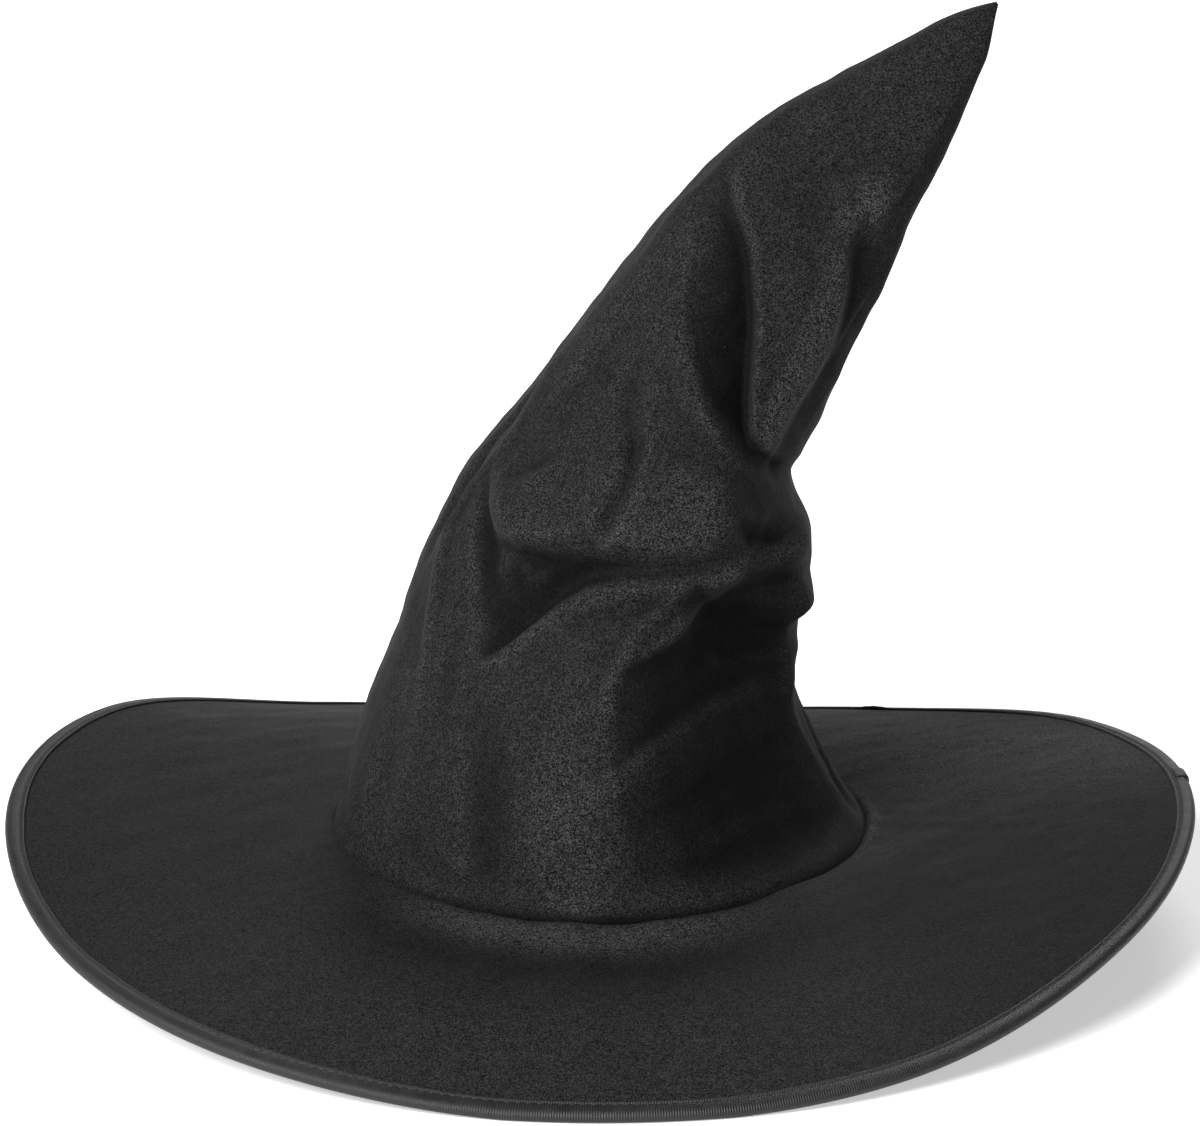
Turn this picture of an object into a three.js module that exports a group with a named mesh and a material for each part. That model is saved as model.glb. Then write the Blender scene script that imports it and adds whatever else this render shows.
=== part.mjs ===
// Costume witch hat: a soft pointed crown that has folded over to the wearer's left, sewn to a wide
// brim with a bound, wired edge.  Millimetres, +Z up, the wearer facing -Y.  The hat stands level
// on the front and the back of its brim, with the origin on the floor under the middle of the brim.
import * as THREE from 'three';

// ---- Driving dimensions ----
const CROWN_RADIUS = 92; // outside of the crown at its seam with the brim
const BRIM_RADIUS = 205; // outside of the brim's binding
const BRIM_OVAL = 1.3; // added to that radius at the sides, and taken off at the front and back
const CONE_SLACK = 1.045; // length of the cut cone over its left edge, the rest being taken up in folds
const TIP_HALF_DEPTH = 6; // the empty tip lies nearly flat, and is never thinner than this

// Cloth, from the outside in, with the air left between two layers
const GAP = 0.3;
const CROWN_CLOTH = 1.2;
const LINING_CLOTH = 0.5;
const BAND_CLOTH = 0.8;
const BRIM_CLOTH = 0.6;
const STIFFENER = 0.8;
const TAPE_CLOTH = 0.5;
const THREAD_RADIUS = 0.25;

// Brim edge: a tape folded over the stack of brim layers and the wire beside it
const TAPE_WIDTH = 6.4;
const TAPE_CURVE = 2.4; // how far in from the rim the fold of the tape starts to curve
const WIRE_RADIUS = 0.5;
const SLEEVE_WALL = 0.4;
const SLEEVE_LENGTH = 14;
const STITCH_INSET = 5; // stitch line, in from the rim

// Head opening
const BAND_TOP = 0.075; // the sweatband's top edge, as a share of the way up the crown
const BAND_BELOW = 3.5; // the sweatband's lower edge, under the seam
const CLOTH_BELOW = 2.4; // the crown's and lining's turned edges, under the seam

// The fold that the tip moves on
const FOLD_AT = 5 / 12; // its place, as a share of the way up the crown
const FOLD_BALL = 64; // the tip's lower end is trimmed to this ball, and turns inside the crown
const FOLD_CLEARANCE = 0.6;

// Facets: every ring has the same number, so that nested rings stay clear of each other
const AROUND = 36;

// The crown's left and right edges, seen from the front: x and z of the left edge, then of the
// right edge, above the seam, at equal steps from the seam to the tip.
const CROWN_EDGES = [
  [-92, 0, 92, 0],
  [-84.5, 34, 76, 30],
  [-73, 66, 67, 54],
  [-62.5, 97, 71, 82],
  [-49, 124, 72.5, 107],
  [-29, 153, 66, 128],
  [-10.5, 180, 75, 150],
  [9.5, 206, 86, 175],
  [30.5, 232.5, 97.5, 200],
  [53.8, 252.4, 108.5, 225],
  [79.3, 268.5, 119, 249],
  [104, 282, 127, 268],
  [131.5, 298.5, 136.8, 290.5],
];

// Height of the brim's edge above the seam, every 30 degrees from the front by the right side
const BRIM_EDGE = [-28.9, -23.5, -3.3, 9.7, 1.6, -19.2, -29.5, -17, 7, 5.5, -12.4, -23.3];
const BRIM_DROP = 28.2; // the edge's lowest stretches flatten at this depth, where the hat stands
const STANDING_DEPTH = 29.4; // and there the tape's underside is pressed flat
const BRIM_SLOPE_AT_SEAM = 0.6; // slope where the brim leaves the crown, over its mean slope

// ---- Crown surface ----
const curveThrough = (pairs) =>
  new THREE.CatmullRomCurve3(pairs.map(([x, z]) => new THREE.Vector3(x, 0, z)), false, 'catmullrom');
const leftEdge = curveThrough(CROWN_EDGES.map(([x, z]) => [x, z]));
const rightEdge = curveThrough(CROWN_EDGES.map(([, , x, z]) => [x, z]));

// The cloth is cut as a cone, so the girth falls evenly along the left edge, which is the long one.
const EDGE_STEPS = 240;
const leftLengths = [0];
for (let step = 1; step <= EDGE_STEPS; step += 1) {
  const from = leftEdge.getPoint((step - 1) / EDGE_STEPS);
  leftLengths.push(leftLengths[step - 1] + from.distanceTo(leftEdge.getPoint(step / EDGE_STEPS)));
}

function coneRadius(share) {
  const place = share * EDGE_STEPS;
  const below = Math.min(Math.floor(place), EDGE_STEPS - 1);
  const length = THREE.MathUtils.lerp(leftLengths[below], leftLengths[below + 1], place - below);
  return CROWN_RADIUS * (1 - length / (CONE_SLACK * leftLengths[EDGE_STEPS]));
}

// The tip's last stretch is rounded off, as a turned-out corner of cloth is.
function tipRounding(share) {
  const start = 0.94;
  const past = Math.max(0, (share - start) / (1 - start));
  return Math.sqrt(Math.max(0, 1 - past * past));
}

// A point of the crown: share runs from 0 at the seam to 1 at the tip, angle runs from the front
// to the right side, and inset is the depth under the outer face of the cloth.
function crownPoint(share, angle, inset) {
  const left = leftEdge.getPoint(share);
  const across = rightEdge.getPoint(share).sub(left).multiplyScalar(0.5);
  const halfWidth = across.length();
  const girth = coneRadius(share);
  const flat = 2 * girth * girth - halfWidth * halfWidth;
  const halfDepth = Math.sqrt(Math.max(flat, TIP_HALF_DEPTH ** 2));
  const rounding = tipRounding(share);
  const toSide = ((halfWidth * rounding - inset) / halfWidth) * Math.sin(angle);
  const toFront = (halfDepth * rounding - inset) * Math.cos(angle);
  return left.add(across).addScaledVector(across, toSide).add(new THREE.Vector3(0, -toFront, 0));
}

// ---- Brim surface ----
const angleOf = (step) => (2 * Math.PI * step) / AROUND;
const rimRadius = (angle) => BRIM_RADIUS - BRIM_OVAL * Math.cos(2 * angle);
const BRIM_HOLE = CROWN_RADIUS + GAP + 0.1;

const brimHeights = new THREE.CatmullRomCurve3(
  BRIM_EDGE.map((z, index) => new THREE.Vector3(index, 0, z)), true, 'catmullrom');

function rimHeight(angle) {
  const turn = THREE.MathUtils.euclideanModulo(angle / (2 * Math.PI), 1);
  return Math.max(-BRIM_DROP, brimHeights.getPoint(turn).z);
}

// A point of the brim, by its distance in from the rim and its height over the brim's middle layer
function brimPoint(inFromRim, angle, lift) {
  const radius = rimRadius(angle) - inFromRim;
  const out = (radius - BRIM_HOLE) / (rimRadius(angle) - BRIM_HOLE);
  const fall = out * (BRIM_SLOPE_AT_SEAM + (1 - BRIM_SLOPE_AT_SEAM) * out);
  return new THREE.Vector3(
    radius * Math.sin(angle), -radius * Math.cos(angle), rimHeight(angle) * fall + lift);
}

// ---- Solids ----
const centreOf = (ring) =>
  ring.reduce((sum, point) => sum.addScaledVector(point, 1 / ring.length), new THREE.Vector3());

// The faces between two rings that start at two places in the list of points
function band(from, to, count) {
  const faces = [];
  for (let step = 0; step < count; step += 1) {
    const beside = (step + 1) % count;
    faces.push([from + step, from + beside, to + beside], [from + step, to + beside, to + step]);
  }
  return faces;
}

const turned = (faces) => faces.map(([a, b, c]) => [a, c, b]);

// A fan from a hub to the ring that starts at one place in the list of points
const fan = (hub, first, count) => Array.from({ length: count }, (_, step) =>
  [hub, first + step, first + ((step + 1) % count)]);

// A rod through a row of sections.  A wrapped rod joins its last section to its first.
function rod(sections, wrapped) {
  const count = sections[0].length;
  const points = sections.flat();
  const last = (sections.length - 1) * count;
  const faces = sections.slice(1).flatMap((_, index) =>
    band(index * count, (index + 1) * count, count));
  if (wrapped) {
    faces.push(...band(last, 0, count));
  } else {
    points.push(centreOf(sections[0]), centreOf(sections[sections.length - 1]));
    faces.push(...turned(fan(points.length - 2, 0, count)), ...fan(points.length - 1, last, count));
  }
  return closedGeometry(points, faces);
}

// A layer between an outer and an inner wall of rings, open at its first rings.  At its last rings
// it is open too, or closed by a lid on each wall.  Both walls split their facets the same way.
function layer(outer, inner, lidded = false) {
  const count = AROUND;
  const points = [...outer, ...inner].flat();
  const wall = (first, rings) => rings.slice(1).flatMap((_, index) =>
    band(first + index * count, first + (index + 1) * count, count));
  const innerFirst = outer.length * count;
  const outerLast = innerFirst - count;
  const innerLast = points.length - count;
  const faces = [...wall(0, outer), ...turned(wall(innerFirst, inner)),
    ...turned(band(0, innerFirst, count))];
  if (lidded) {
    points.push(centreOf(outer[outer.length - 1]), centreOf(inner[inner.length - 1]));
    faces.push(...fan(points.length - 2, outerLast, count));
    faces.push(...turned(fan(points.length - 1, innerLast, count)));
  } else {
    faces.push(...band(outerLast, innerLast, count));
  }
  return closedGeometry(points, faces);
}

// Turns the faces outwards, whichever way the rings ran.
function closedGeometry(points, faces) {
  const volume = faces.reduce((sum, [a, b, c]) =>
    sum + points[a].dot(new THREE.Vector3().crossVectors(points[b], points[c])), 0);
  const order = volume > 0 ? faces : turned(faces);
  const geometry = new THREE.BufferGeometry();
  geometry.setAttribute('position',
    new THREE.Float32BufferAttribute(points.flatMap((point) => point.toArray()), 3));
  geometry.setIndex(order.flat());
  geometry.computeVertexNormals();
  return geometry;
}

const ringOf = (pointAt) => Array.from({ length: AROUND }, (_, step) => pointAt(angleOf(step)));
const sharesBetween = (low, high, steps) =>
  Array.from({ length: steps + 1 }, (_, step) => THREE.MathUtils.lerp(low, high, step / steps));

// A place on the facet between two ring steps, so that a short piece lies flat on it
function onFacet(pointAt, steps) {
  const low = Math.floor(steps);
  return pointAt(angleOf(low)).lerp(pointAt(angleOf(low + 1)), steps - low);
}

// ---- Crown and lining ----
const LINING_INSET = CROWN_CLOTH + GAP;
const TIP_LINING_INSET = LINING_INSET + GAP; // the lining hangs slack inside the tip
const foldCentre = crownPoint(FOLD_AT, Math.PI / 2, 0).add(crownPoint(FOLD_AT, -Math.PI / 2, 0))
  .multiplyScalar(0.5);

// How far up the crown a wall meets a ball round the fold's centre, below the fold
function shareOnBall(angle, inset, ballRadius) {
  let low = 0.15;
  let high = FOLD_AT;
  for (let pass = 0; pass < 24; pass += 1) {
    const middle = (low + high) / 2;
    const outside = crownPoint(middle, angle, inset).distanceTo(foldCentre) > ballRadius;
    if (outside) low = middle;
    else high = middle;
  }
  return low;
}

// A wall's rings, from the seam up to the trimmed edge.  Every wall under the fold is trimmed where
// the innermost one meets the ball, and every wall above it where the outermost one does.
function lowerWall(inset, steps) {
  const rim = FOLD_BALL + FOLD_CLEARANCE;
  const rings = sharesBetween(0, 1, steps).map((part) => ringOf((angle) =>
    crownPoint(part * shareOnBall(angle, LINING_INSET + LINING_CLOTH, rim), angle, inset)));
  const hem = rings[0].map((point) => point.clone().setZ(-CLOTH_BELOW));
  return [hem, ...rings];
}

// The rings above the fold are at the same heights in every wall, so that nested walls stay clear.
const TIP_STEPS = 12;
const TIP_END = 0.995; // the last ring before the fan that closes the tip
const TIP_SHARES = sharesBetween(FOLD_AT, TIP_END, TIP_STEPS);

// A wall's rings, from the trimmed edge up through a number of the heights above the fold
function tipWall(inset, heights) {
  const trimmed = [0, 0.5].map((part) => ringOf((angle) =>
    crownPoint(THREE.MathUtils.lerp(shareOnBall(angle, 0, FOLD_BALL), FOLD_AT, part), angle, inset)));
  const upper = TIP_SHARES.slice(0, heights).map((share) =>
    ringOf((angle) => crownPoint(share, angle, inset)));
  return [...trimmed, ...upper];
}

const lowerShell = (inset, cloth, steps) =>
  layer(lowerWall(inset, steps), lowerWall(inset + cloth, steps));
const tipShell = (inset, cloth, heights, hollowHeights) =>
  layer(tipWall(inset, heights), tipWall(inset + cloth, hollowHeights), true);

const BAND_INSET = LINING_INSET + LINING_CLOTH + GAP;
const BAND_FACE = BAND_INSET + BAND_CLOTH;
const LOWER_STEPS = 8;
const CROWN_HOLLOW_HEIGHTS = TIP_STEPS - 1;
const LINING_HEIGHTS = TIP_STEPS - 2;
const LINING_HOLLOW_HEIGHTS = TIP_STEPS - 3;

// ---- Sweatband ----
function bandPoint(share, angle, inset) {
  const point = crownPoint(Math.max(0, share), angle, inset);
  return share < 0 ? point.setZ(-BAND_BELOW) : point;
}

// A closed ring of cloth inside the crown, from its lower edge to its top edge
function sweatband() {
  const shares = [-1, ...sharesBetween(0, BAND_TOP, 3)];
  const wall = (inset) => shares.map((share) => ringOf((angle) => bandPoint(share, angle, inset)));
  return layer(wall(BAND_INSET), wall(BAND_FACE));
}

// A flat patch against the inside of the crown, between two shares of its height and two steps
function insidePatch(inset, cloth, shares, firstStep, lastStep) {
  const corners = (share) => [[inset, firstStep], [inset, lastStep],
    [inset + cloth, lastStep], [inset + cloth, firstStep]].map(([depth, steps]) =>
    onFacet((angle) => bandPoint(share, angle, depth), steps));
  return rod(shares.map(corners), false);
}

// A round thread or wire, as a ring of small sections
function threadRing(centreAt, radius, sides) {
  const sections = Array.from({ length: AROUND }, (_, step) =>
    Array.from({ length: sides }, (_unused, side) => {
      const turn = (2 * Math.PI * side) / sides;
      return centreAt(angleOf(step), radius * Math.cos(turn), radius * Math.sin(turn));
    }));
  return rod(sections, true);
}

// ---- Brim layers ----
const STACK_HALF = STIFFENER / 2 + GAP + BRIM_CLOTH;
const TAPE_INNER_HALF = STACK_HALF + GAP;
const TAPE_HALF = TAPE_INNER_HALF + TAPE_CLOTH;
const SLEEVE_BORE = WIRE_RADIUS + GAP;
const SLEEVE_RADIUS = SLEEVE_BORE + SLEEVE_WALL;
const WIRE_IN = TAPE_CLOTH + GAP + SLEEVE_RADIUS;
const STACK_IN = WIRE_IN + SLEEVE_RADIUS + GAP;
const BRIM_STEPS = 4;

// One flat layer of the brim, between two heights over its middle
function brimLayer(bottom, top) {
  const layerRings = (lift) => sharesBetween(0, 1, BRIM_STEPS).map((part) => ringOf((angle) => {
    const hole = rimRadius(angle) - BRIM_HOLE;
    return brimPoint(THREE.MathUtils.lerp(hole, STACK_IN, part), angle, lift);
  }));
  return layer(layerRings(top), layerRings(bottom));
}

// The tape's section, as [in from the rim, lift]: over the top, round the rim and back underneath
function tapeSection(rimOffset, half, turns, width = TAPE_WIDTH) {
  const reach = TAPE_CURVE - rimOffset;
  const nose = Array.from({ length: turns + 1 }, (_, turn) => {
    const angle = Math.PI * (0.5 - turn / turns);
    return [TAPE_CURVE - reach * Math.cos(angle), half * Math.sin(angle)];
  });
  return [[width, half], ...nose, [width, -half]];
}

function binding() {
  const around = ([inFromRim, lift]) => ringOf((angle) => brimPoint(inFromRim, angle, lift));
  const outer = tapeSection(0, TAPE_HALF, 6).map(around);
  for (const point of outer.flat()) {
    point.z = Math.max(point.z, -STANDING_DEPTH);
  }
  const inner = tapeSection(TAPE_CLOTH, TAPE_INNER_HALF, 4).map(around);
  return layer(outer, inner);
}

// The tape's turned end, lapped over its start on the right of the brim
const LAP_FROM = 9.53; // in ring steps from the front
const LAP_TO = 9.79;
const LAP_CLOTH = 0.6;
const LAP_WIDTH = STITCH_INSET - 2 * THREAD_RADIUS; // it shows from the rim in to the stitching

function bindingLap() {
  const under = tapeSection(-GAP, TAPE_HALF + GAP, 6, LAP_WIDTH);
  const over = tapeSection(-GAP - LAP_CLOTH, TAPE_HALF + GAP + LAP_CLOTH, 6, LAP_WIDTH);
  const at = ([inFromRim, lift], steps) => onFacet((angle) => brimPoint(inFromRim, angle, lift), steps);
  const sections = under.map((point, index) =>
    [at(point, LAP_FROM), at(point, LAP_TO), at(over[index], LAP_TO), at(over[index], LAP_FROM)]);
  return rod(sections, false);
}

// The metal sleeve that joins the two ends of the brim wire, towards the back on the right
const SLEEVE_AT = 14.6; // in ring steps from the front

function wireSleeve() {
  const sides = 8;
  const halfSpan = (SLEEVE_LENGTH / 2) / (2 * Math.PI * (BRIM_RADIUS - WIRE_IN)) * AROUND;
  const circle = (radius, steps) => Array.from({ length: sides }, (_, side) => {
    const turn = (2 * Math.PI * side) / sides;
    const inFromRim = WIRE_IN + radius * Math.cos(turn);
    return onFacet((angle) => brimPoint(inFromRim, angle, radius * Math.sin(turn)), steps);
  });
  const [near, far] = [SLEEVE_AT - halfSpan, SLEEVE_AT + halfSpan];
  const rings = [circle(SLEEVE_RADIUS, near), circle(SLEEVE_RADIUS, far),
    circle(SLEEVE_BORE, far), circle(SLEEVE_BORE, near)];
  return rod(rings, true);
}

const THREAD_SIDES = 4;
const WIRE_SIDES = 6;

const brimThread = (lift) => threadRing((angle, inwards, up) =>
  brimPoint(STITCH_INSET + inwards, angle, lift + up), THREAD_RADIUS, THREAD_SIDES);

const bandThread = () => threadRing((angle, inwards, up) =>
  crownPoint(0, angle, BAND_FACE + GAP + THREAD_RADIUS + inwards).setZ(up - BAND_BELOW / 2),
THREAD_RADIUS, THREAD_SIDES);

// ---- Assembly ----
const hat = new THREE.Group();

function add(name, geometry, color, roughness, metalness = 0) {
  const material = new THREE.MeshStandardMaterial({ color, roughness, metalness });
  const mesh = new THREE.Mesh(geometry, material);
  mesh.name = name;
  hat.add(mesh);
}

const VELOUR = 0x2b2b2c;
const LINING = 0x1b1b1c;
const TAPE = 0x3a3a3c;
const THREAD = 0x232324;
const PATCH_GAP = BAND_FACE + GAP;

add('crown_lower', lowerShell(0, CROWN_CLOTH, LOWER_STEPS), VELOUR, 0.95);
add('crown_tip', tipShell(0, CROWN_CLOTH, TIP_STEPS + 1, CROWN_HOLLOW_HEIGHTS), VELOUR, 0.95);
add('lining_lower', lowerShell(LINING_INSET, LINING_CLOTH, LOWER_STEPS), LINING, 0.7);
add('lining_tip',
  tipShell(TIP_LINING_INSET, LINING_CLOTH, LINING_HEIGHTS, LINING_HOLLOW_HEIGHTS), LINING, 0.7);
add('sweatband', sweatband(), TAPE, 0.7);
add('sweatband_lap', insidePatch(PATCH_GAP, LINING_CLOTH, [0.012, BAND_TOP], 17.6, 18), TAPE, 0.7);
add('sweatband_stitching', bandThread(), THREAD, 0.8);
add('care_label', insidePatch(PATCH_GAP, LINING_CLOTH / 2, [0.012, 0.06], 19.1, 19.9), 0xd8d8d4, 0.8);
add('brim_top_cover', brimLayer(STIFFENER / 2 + GAP, STACK_HALF), VELOUR, 0.95);
add('brim_stiffener', brimLayer(-STIFFENER / 2, STIFFENER / 2), 0x4a4a48, 0.9);
add('brim_under_cover', brimLayer(-STACK_HALF, -STIFFENER / 2 - GAP), VELOUR, 0.95);
add('brim_wire', threadRing((angle, inwards, up) => brimPoint(WIRE_IN + inwards, angle, up),
  WIRE_RADIUS, WIRE_SIDES), 0x9a9a9c, 0.35, 1);
add('wire_sleeve', wireSleeve(), 0x9a9a9c, 0.35, 1);
add('brim_binding', binding(), TAPE, 0.5);
add('binding_lap', bindingLap(), TAPE, 0.5);
add('binding_stitching_top', brimThread(TAPE_HALF + GAP + THREAD_RADIUS), THREAD, 0.8);
add('binding_stitching_under', brimThread(-TAPE_HALF - GAP - THREAD_RADIUS), THREAD, 0.8);

// The origin is on the floor under the middle of the brim.
const extent = new THREE.Box3().setFromObject(hat);
const middle = extent.getCenter(new THREE.Vector3());
hat.position.set(-middle.x, -middle.y, -extent.min.z);

export default hat;
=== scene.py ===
"""A costume witch hat of black velour: the looks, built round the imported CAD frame."""
import math

import bpy
import numpy as np
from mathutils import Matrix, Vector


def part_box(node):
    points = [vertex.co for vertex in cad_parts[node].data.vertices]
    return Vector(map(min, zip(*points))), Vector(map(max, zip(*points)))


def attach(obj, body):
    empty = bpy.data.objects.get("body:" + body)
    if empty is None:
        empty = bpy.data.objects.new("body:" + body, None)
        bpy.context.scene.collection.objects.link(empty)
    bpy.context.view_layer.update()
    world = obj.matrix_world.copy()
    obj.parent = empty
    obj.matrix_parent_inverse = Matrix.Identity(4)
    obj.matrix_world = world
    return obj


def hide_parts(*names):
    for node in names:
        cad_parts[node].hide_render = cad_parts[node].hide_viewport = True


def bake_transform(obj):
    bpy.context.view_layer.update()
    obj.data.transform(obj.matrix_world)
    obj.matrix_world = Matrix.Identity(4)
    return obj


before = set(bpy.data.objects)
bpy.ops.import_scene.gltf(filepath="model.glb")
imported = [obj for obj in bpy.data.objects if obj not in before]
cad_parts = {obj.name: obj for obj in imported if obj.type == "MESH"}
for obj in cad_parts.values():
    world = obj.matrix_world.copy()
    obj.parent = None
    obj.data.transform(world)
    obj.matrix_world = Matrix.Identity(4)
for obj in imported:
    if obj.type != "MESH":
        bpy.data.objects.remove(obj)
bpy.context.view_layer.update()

MM = 0.001

# ---- The shape's driving dimensions, in millimetres, as in the CAD ----
CROWN_RADIUS = 92.0
BRIM_RADIUS = 205.0
BRIM_OVAL = 1.3
CONE_SLACK = 1.045
TIP_HALF_DEPTH = 6.0
GAP = 0.3
CROWN_CLOTH = 1.2
LINING_CLOTH = 0.5
BAND_CLOTH = 0.8
BRIM_CLOTH = 0.6
STIFFENER = 0.8
TAPE_CLOTH = 0.5
TAPE_WIDTH = 6.4
TAPE_CURVE = 2.4
WIRE_RADIUS = 0.5
SLEEVE_WALL = 0.4
SLEEVE_LENGTH = 14.0
SLEEVE_AT = math.radians(146)
STITCH_INSET = 5.0
STITCH_PITCH = 3.6
STITCH_COUNT = round(2 * math.pi * (BRIM_RADIUS - STITCH_INSET) / STITCH_PITCH)
LAP_FROM = math.radians(95.3)
LAP_TO = math.radians(97.9)
LAP_CLOTH = 0.6
LAP_CLEAR = 0.14
BAND_HEIGHT = 30.6
BAND_BELOW = 3.5
CLOTH_BELOW = 2.4
BRIM_DROP = 28.2
STANDING_DEPTH = 29.4
BRIM_SLOPE_AT_SEAM = 0.6

# Degrees round from the front: where the brim rolls down beside the seam, where the seam's turned
# edge pushes the brim up, with that ridge's radius, and where the tape's free edge has lifted
ROLL_AT = -5
RIDGE_AT = 88
RIDGE_RADIUS = 95
GAPE_AT = 149.5
GAPE = 0.7

# x and z of the crown's left edge, then of its right edge, at equal steps from seam to tip
CROWN_EDGES = np.array([
    (-92, 0, 92, 0),
    (-84.5, 34, 76, 30),
    (-73, 66, 67, 54),
    (-62.5, 97, 71, 82),
    (-49, 124, 72.5, 107),
    (-29, 153, 66, 128),
    (-10.5, 180, 75, 150),
    (9.5, 206, 86, 175),
    (30.5, 232.5, 97.5, 200),
    (53.8, 252.4, 108.5, 225),
    (79.3, 268.5, 119, 249),
    (104, 282, 127, 268),
    (131.5, 298.5, 136.8, 290.5),
], float)

# Height of the brim's edge above the seam, every 30 degrees from the front by the right side
BRIM_EDGE = np.array([-28.9, -23.5, -3.3, 9.7, 1.6, -19.2, -29.5, -17, 7, 5.5, -12.4, -23.3])

# How much flatter the tip's two faces are than an ellipse's
TIP_BOXINESS = 1.3
TIP_ROUNDED_FROM = 0.94

# The seam between crown and brim is this far above the floor.
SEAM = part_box("crown_lower")[0][2] / MM + CLOTH_BELOW

LINING_INSET = CROWN_CLOTH + 2 * GAP
BAND_INSET = CROWN_CLOTH + LINING_CLOTH + 3 * GAP
STACK_HALF = STIFFENER / 2 + GAP + BRIM_CLOTH
TAPE_INNER_HALF = STACK_HALF + GAP
TAPE_HALF = TAPE_INNER_HALF + TAPE_CLOTH
SLEEVE_BORE = WIRE_RADIUS + GAP
SLEEVE_RADIUS = SLEEVE_BORE + SLEEVE_WALL
WIRE_IN = TAPE_CLOTH + GAP + SLEEVE_RADIUS
STACK_IN = WIRE_IN + SLEEVE_RADIUS + GAP
BRIM_HOLE = CROWN_RADIUS + GAP + 0.1
# How far the hole's edge is in from the rim, on average
HOLE_IN = BRIM_RADIUS - BRIM_HOLE
# Millimetres risen from the seam for each share of the crown, close to the seam
RISE_AT_SEAM = 408.0

VIEW_TILT = math.radians(18)
FRONTWARDS = np.array([0, -math.cos(VIEW_TILT), math.sin(VIEW_TILT)])


# ---- Camera ----
def make_camera():
    """From the front, 18 degrees above the hat, with a long lens."""
    distance = 2.8
    target_height = (SEAM + 96.1) * MM
    view_width = 412.8 * MM
    sensor_width = 36
    camera = bpy.data.objects.new("camera", bpy.data.cameras.new("camera"))
    bpy.context.scene.collection.objects.link(camera)
    camera.location = (0, -distance * math.cos(VIEW_TILT),
                       target_height + distance * math.sin(VIEW_TILT))
    camera.rotation_euler = (math.pi / 2 - VIEW_TILT, 0, 0)
    camera.data.sensor_width = sensor_width
    camera.data.lens = sensor_width * distance / view_width
    camera.data.clip_end = 50
    bpy.context.scene.camera = camera


# ---- Splines and surfaces ----
def spline(rows, place, closed=False):
    """A Catmull-Rom spline through rows of values, at places from 0 to 1."""
    rows = np.asarray(rows, float)
    if closed:
        around = np.concatenate([rows[-1:], rows, rows[:2]])
        spans = len(rows)
    else:
        around = np.concatenate([2 * rows[:1] - rows[1:2], rows, 2 * rows[-1:] - rows[-2:-1]])
        spans = len(rows) - 1
    at = np.clip(place, 0, 1) * spans
    low = np.minimum(at.astype(int), spans - 1)
    t = at - low
    if rows.ndim > 1:
        t = t[..., None]
    a, b, c, d = (around[low + k] for k in range(4))
    return 0.5 * (2 * b + (c - a) * t + (2 * a - 5 * b + 4 * c - d) * t ** 2
                  + (3 * b - a - 3 * c + d) * t ** 3)


def edge_lengths(steps=400):
    """Length along the crown's left edge, at equal steps of its share."""
    left = spline(CROWN_EDGES, np.linspace(0, 1, steps + 1))[:, :2]
    return np.concatenate([[0], np.cumsum(np.linalg.norm(np.diff(left, axis=0), axis=1))])


LEFT_LENGTHS = edge_lengths()
SLANT = LEFT_LENGTHS[-1] * CONE_SLACK


def cone_radius(share):
    """Radius of the cut cone at a share of the way up the crown."""
    places = np.linspace(0, 1, len(LEFT_LENGTHS))
    return CROWN_RADIUS * (1 - np.interp(share, places, LEFT_LENGTHS) / SLANT)


def smooth_step(value, low, high):
    """From 0 at low to 1 at high, level at both ends."""
    t = np.clip((value - low) / (high - low), 0, 1)
    return t * t * (3 - 2 * t)


def crown_surface(share, angle, inset=0.0):
    """Points of the crown before its folds, in mm above the seam."""
    share, angle = np.broadcast_arrays(share, angle)
    edges = spline(CROWN_EDGES, share)
    left, right = edges[..., :2], edges[..., 2:]
    across = (right - left) / 2
    half_width = np.linalg.norm(across, axis=-1)
    girth = cone_radius(share)
    depth = np.sqrt(np.maximum(2 * girth ** 2 - half_width ** 2, TIP_HALF_DEPTH ** 2))
    # The tip closes with a rounded end.
    past = np.clip((share - TIP_ROUNDED_FROM) / (1 - TIP_ROUNDED_FROM), 0, 1)
    rounding = (1 - past ** 2) ** 0.8
    # The tip lies nearly flat, so its section gets flatter faces and tighter turns at the sides.
    power = 2 + TIP_BOXINESS * smooth_step(share, 0.5, 0.75)
    sine, cosine = np.sin(angle), np.cos(angle)
    to_side = sine * (half_width * rounding - inset) / half_width
    to_front = np.sign(cosine) * np.maximum(1 - np.abs(sine) ** power, 0) ** (1 / power)
    middle = (left + right) / 2 + across * to_side[..., None]
    front = -to_front * (depth * rounding - inset)
    return np.stack([middle[..., 0], front, middle[..., 1]], -1)


def rim_radius(angle):
    return BRIM_RADIUS - BRIM_OVAL * np.cos(2 * angle)


def rim_height(angle):
    height = spline(BRIM_EDGE, (angle / (2 * np.pi)) % 1.0, closed=True)
    return np.maximum(-BRIM_DROP, height)


def brim_surface(in_from_rim, angle, lift):
    """Points of the brim, in mm above the seam."""
    radius = rim_radius(angle) - in_from_rim
    out = (radius - BRIM_HOLE) / (rim_radius(angle) - BRIM_HOLE)
    fall = out * (BRIM_SLOPE_AT_SEAM + (1 - BRIM_SLOPE_AT_SEAM) * out)
    return np.stack([radius * np.sin(angle), -radius * np.cos(angle),
                     rim_height(angle) * fall + lift], -1)


def wobble(points, length, seed):
    """A smooth pseudo-random field, about -1 to 1, whose bumps are about one length across."""
    count = 14
    draw = np.random.default_rng(seed)
    waves = draw.normal(size=(count, 3)) * (2 * np.pi / length) * 0.55
    phases = draw.uniform(0, 2 * np.pi, count)
    return np.sin(points @ waves.T + phases).sum(-1) / math.sqrt(count)


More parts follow.
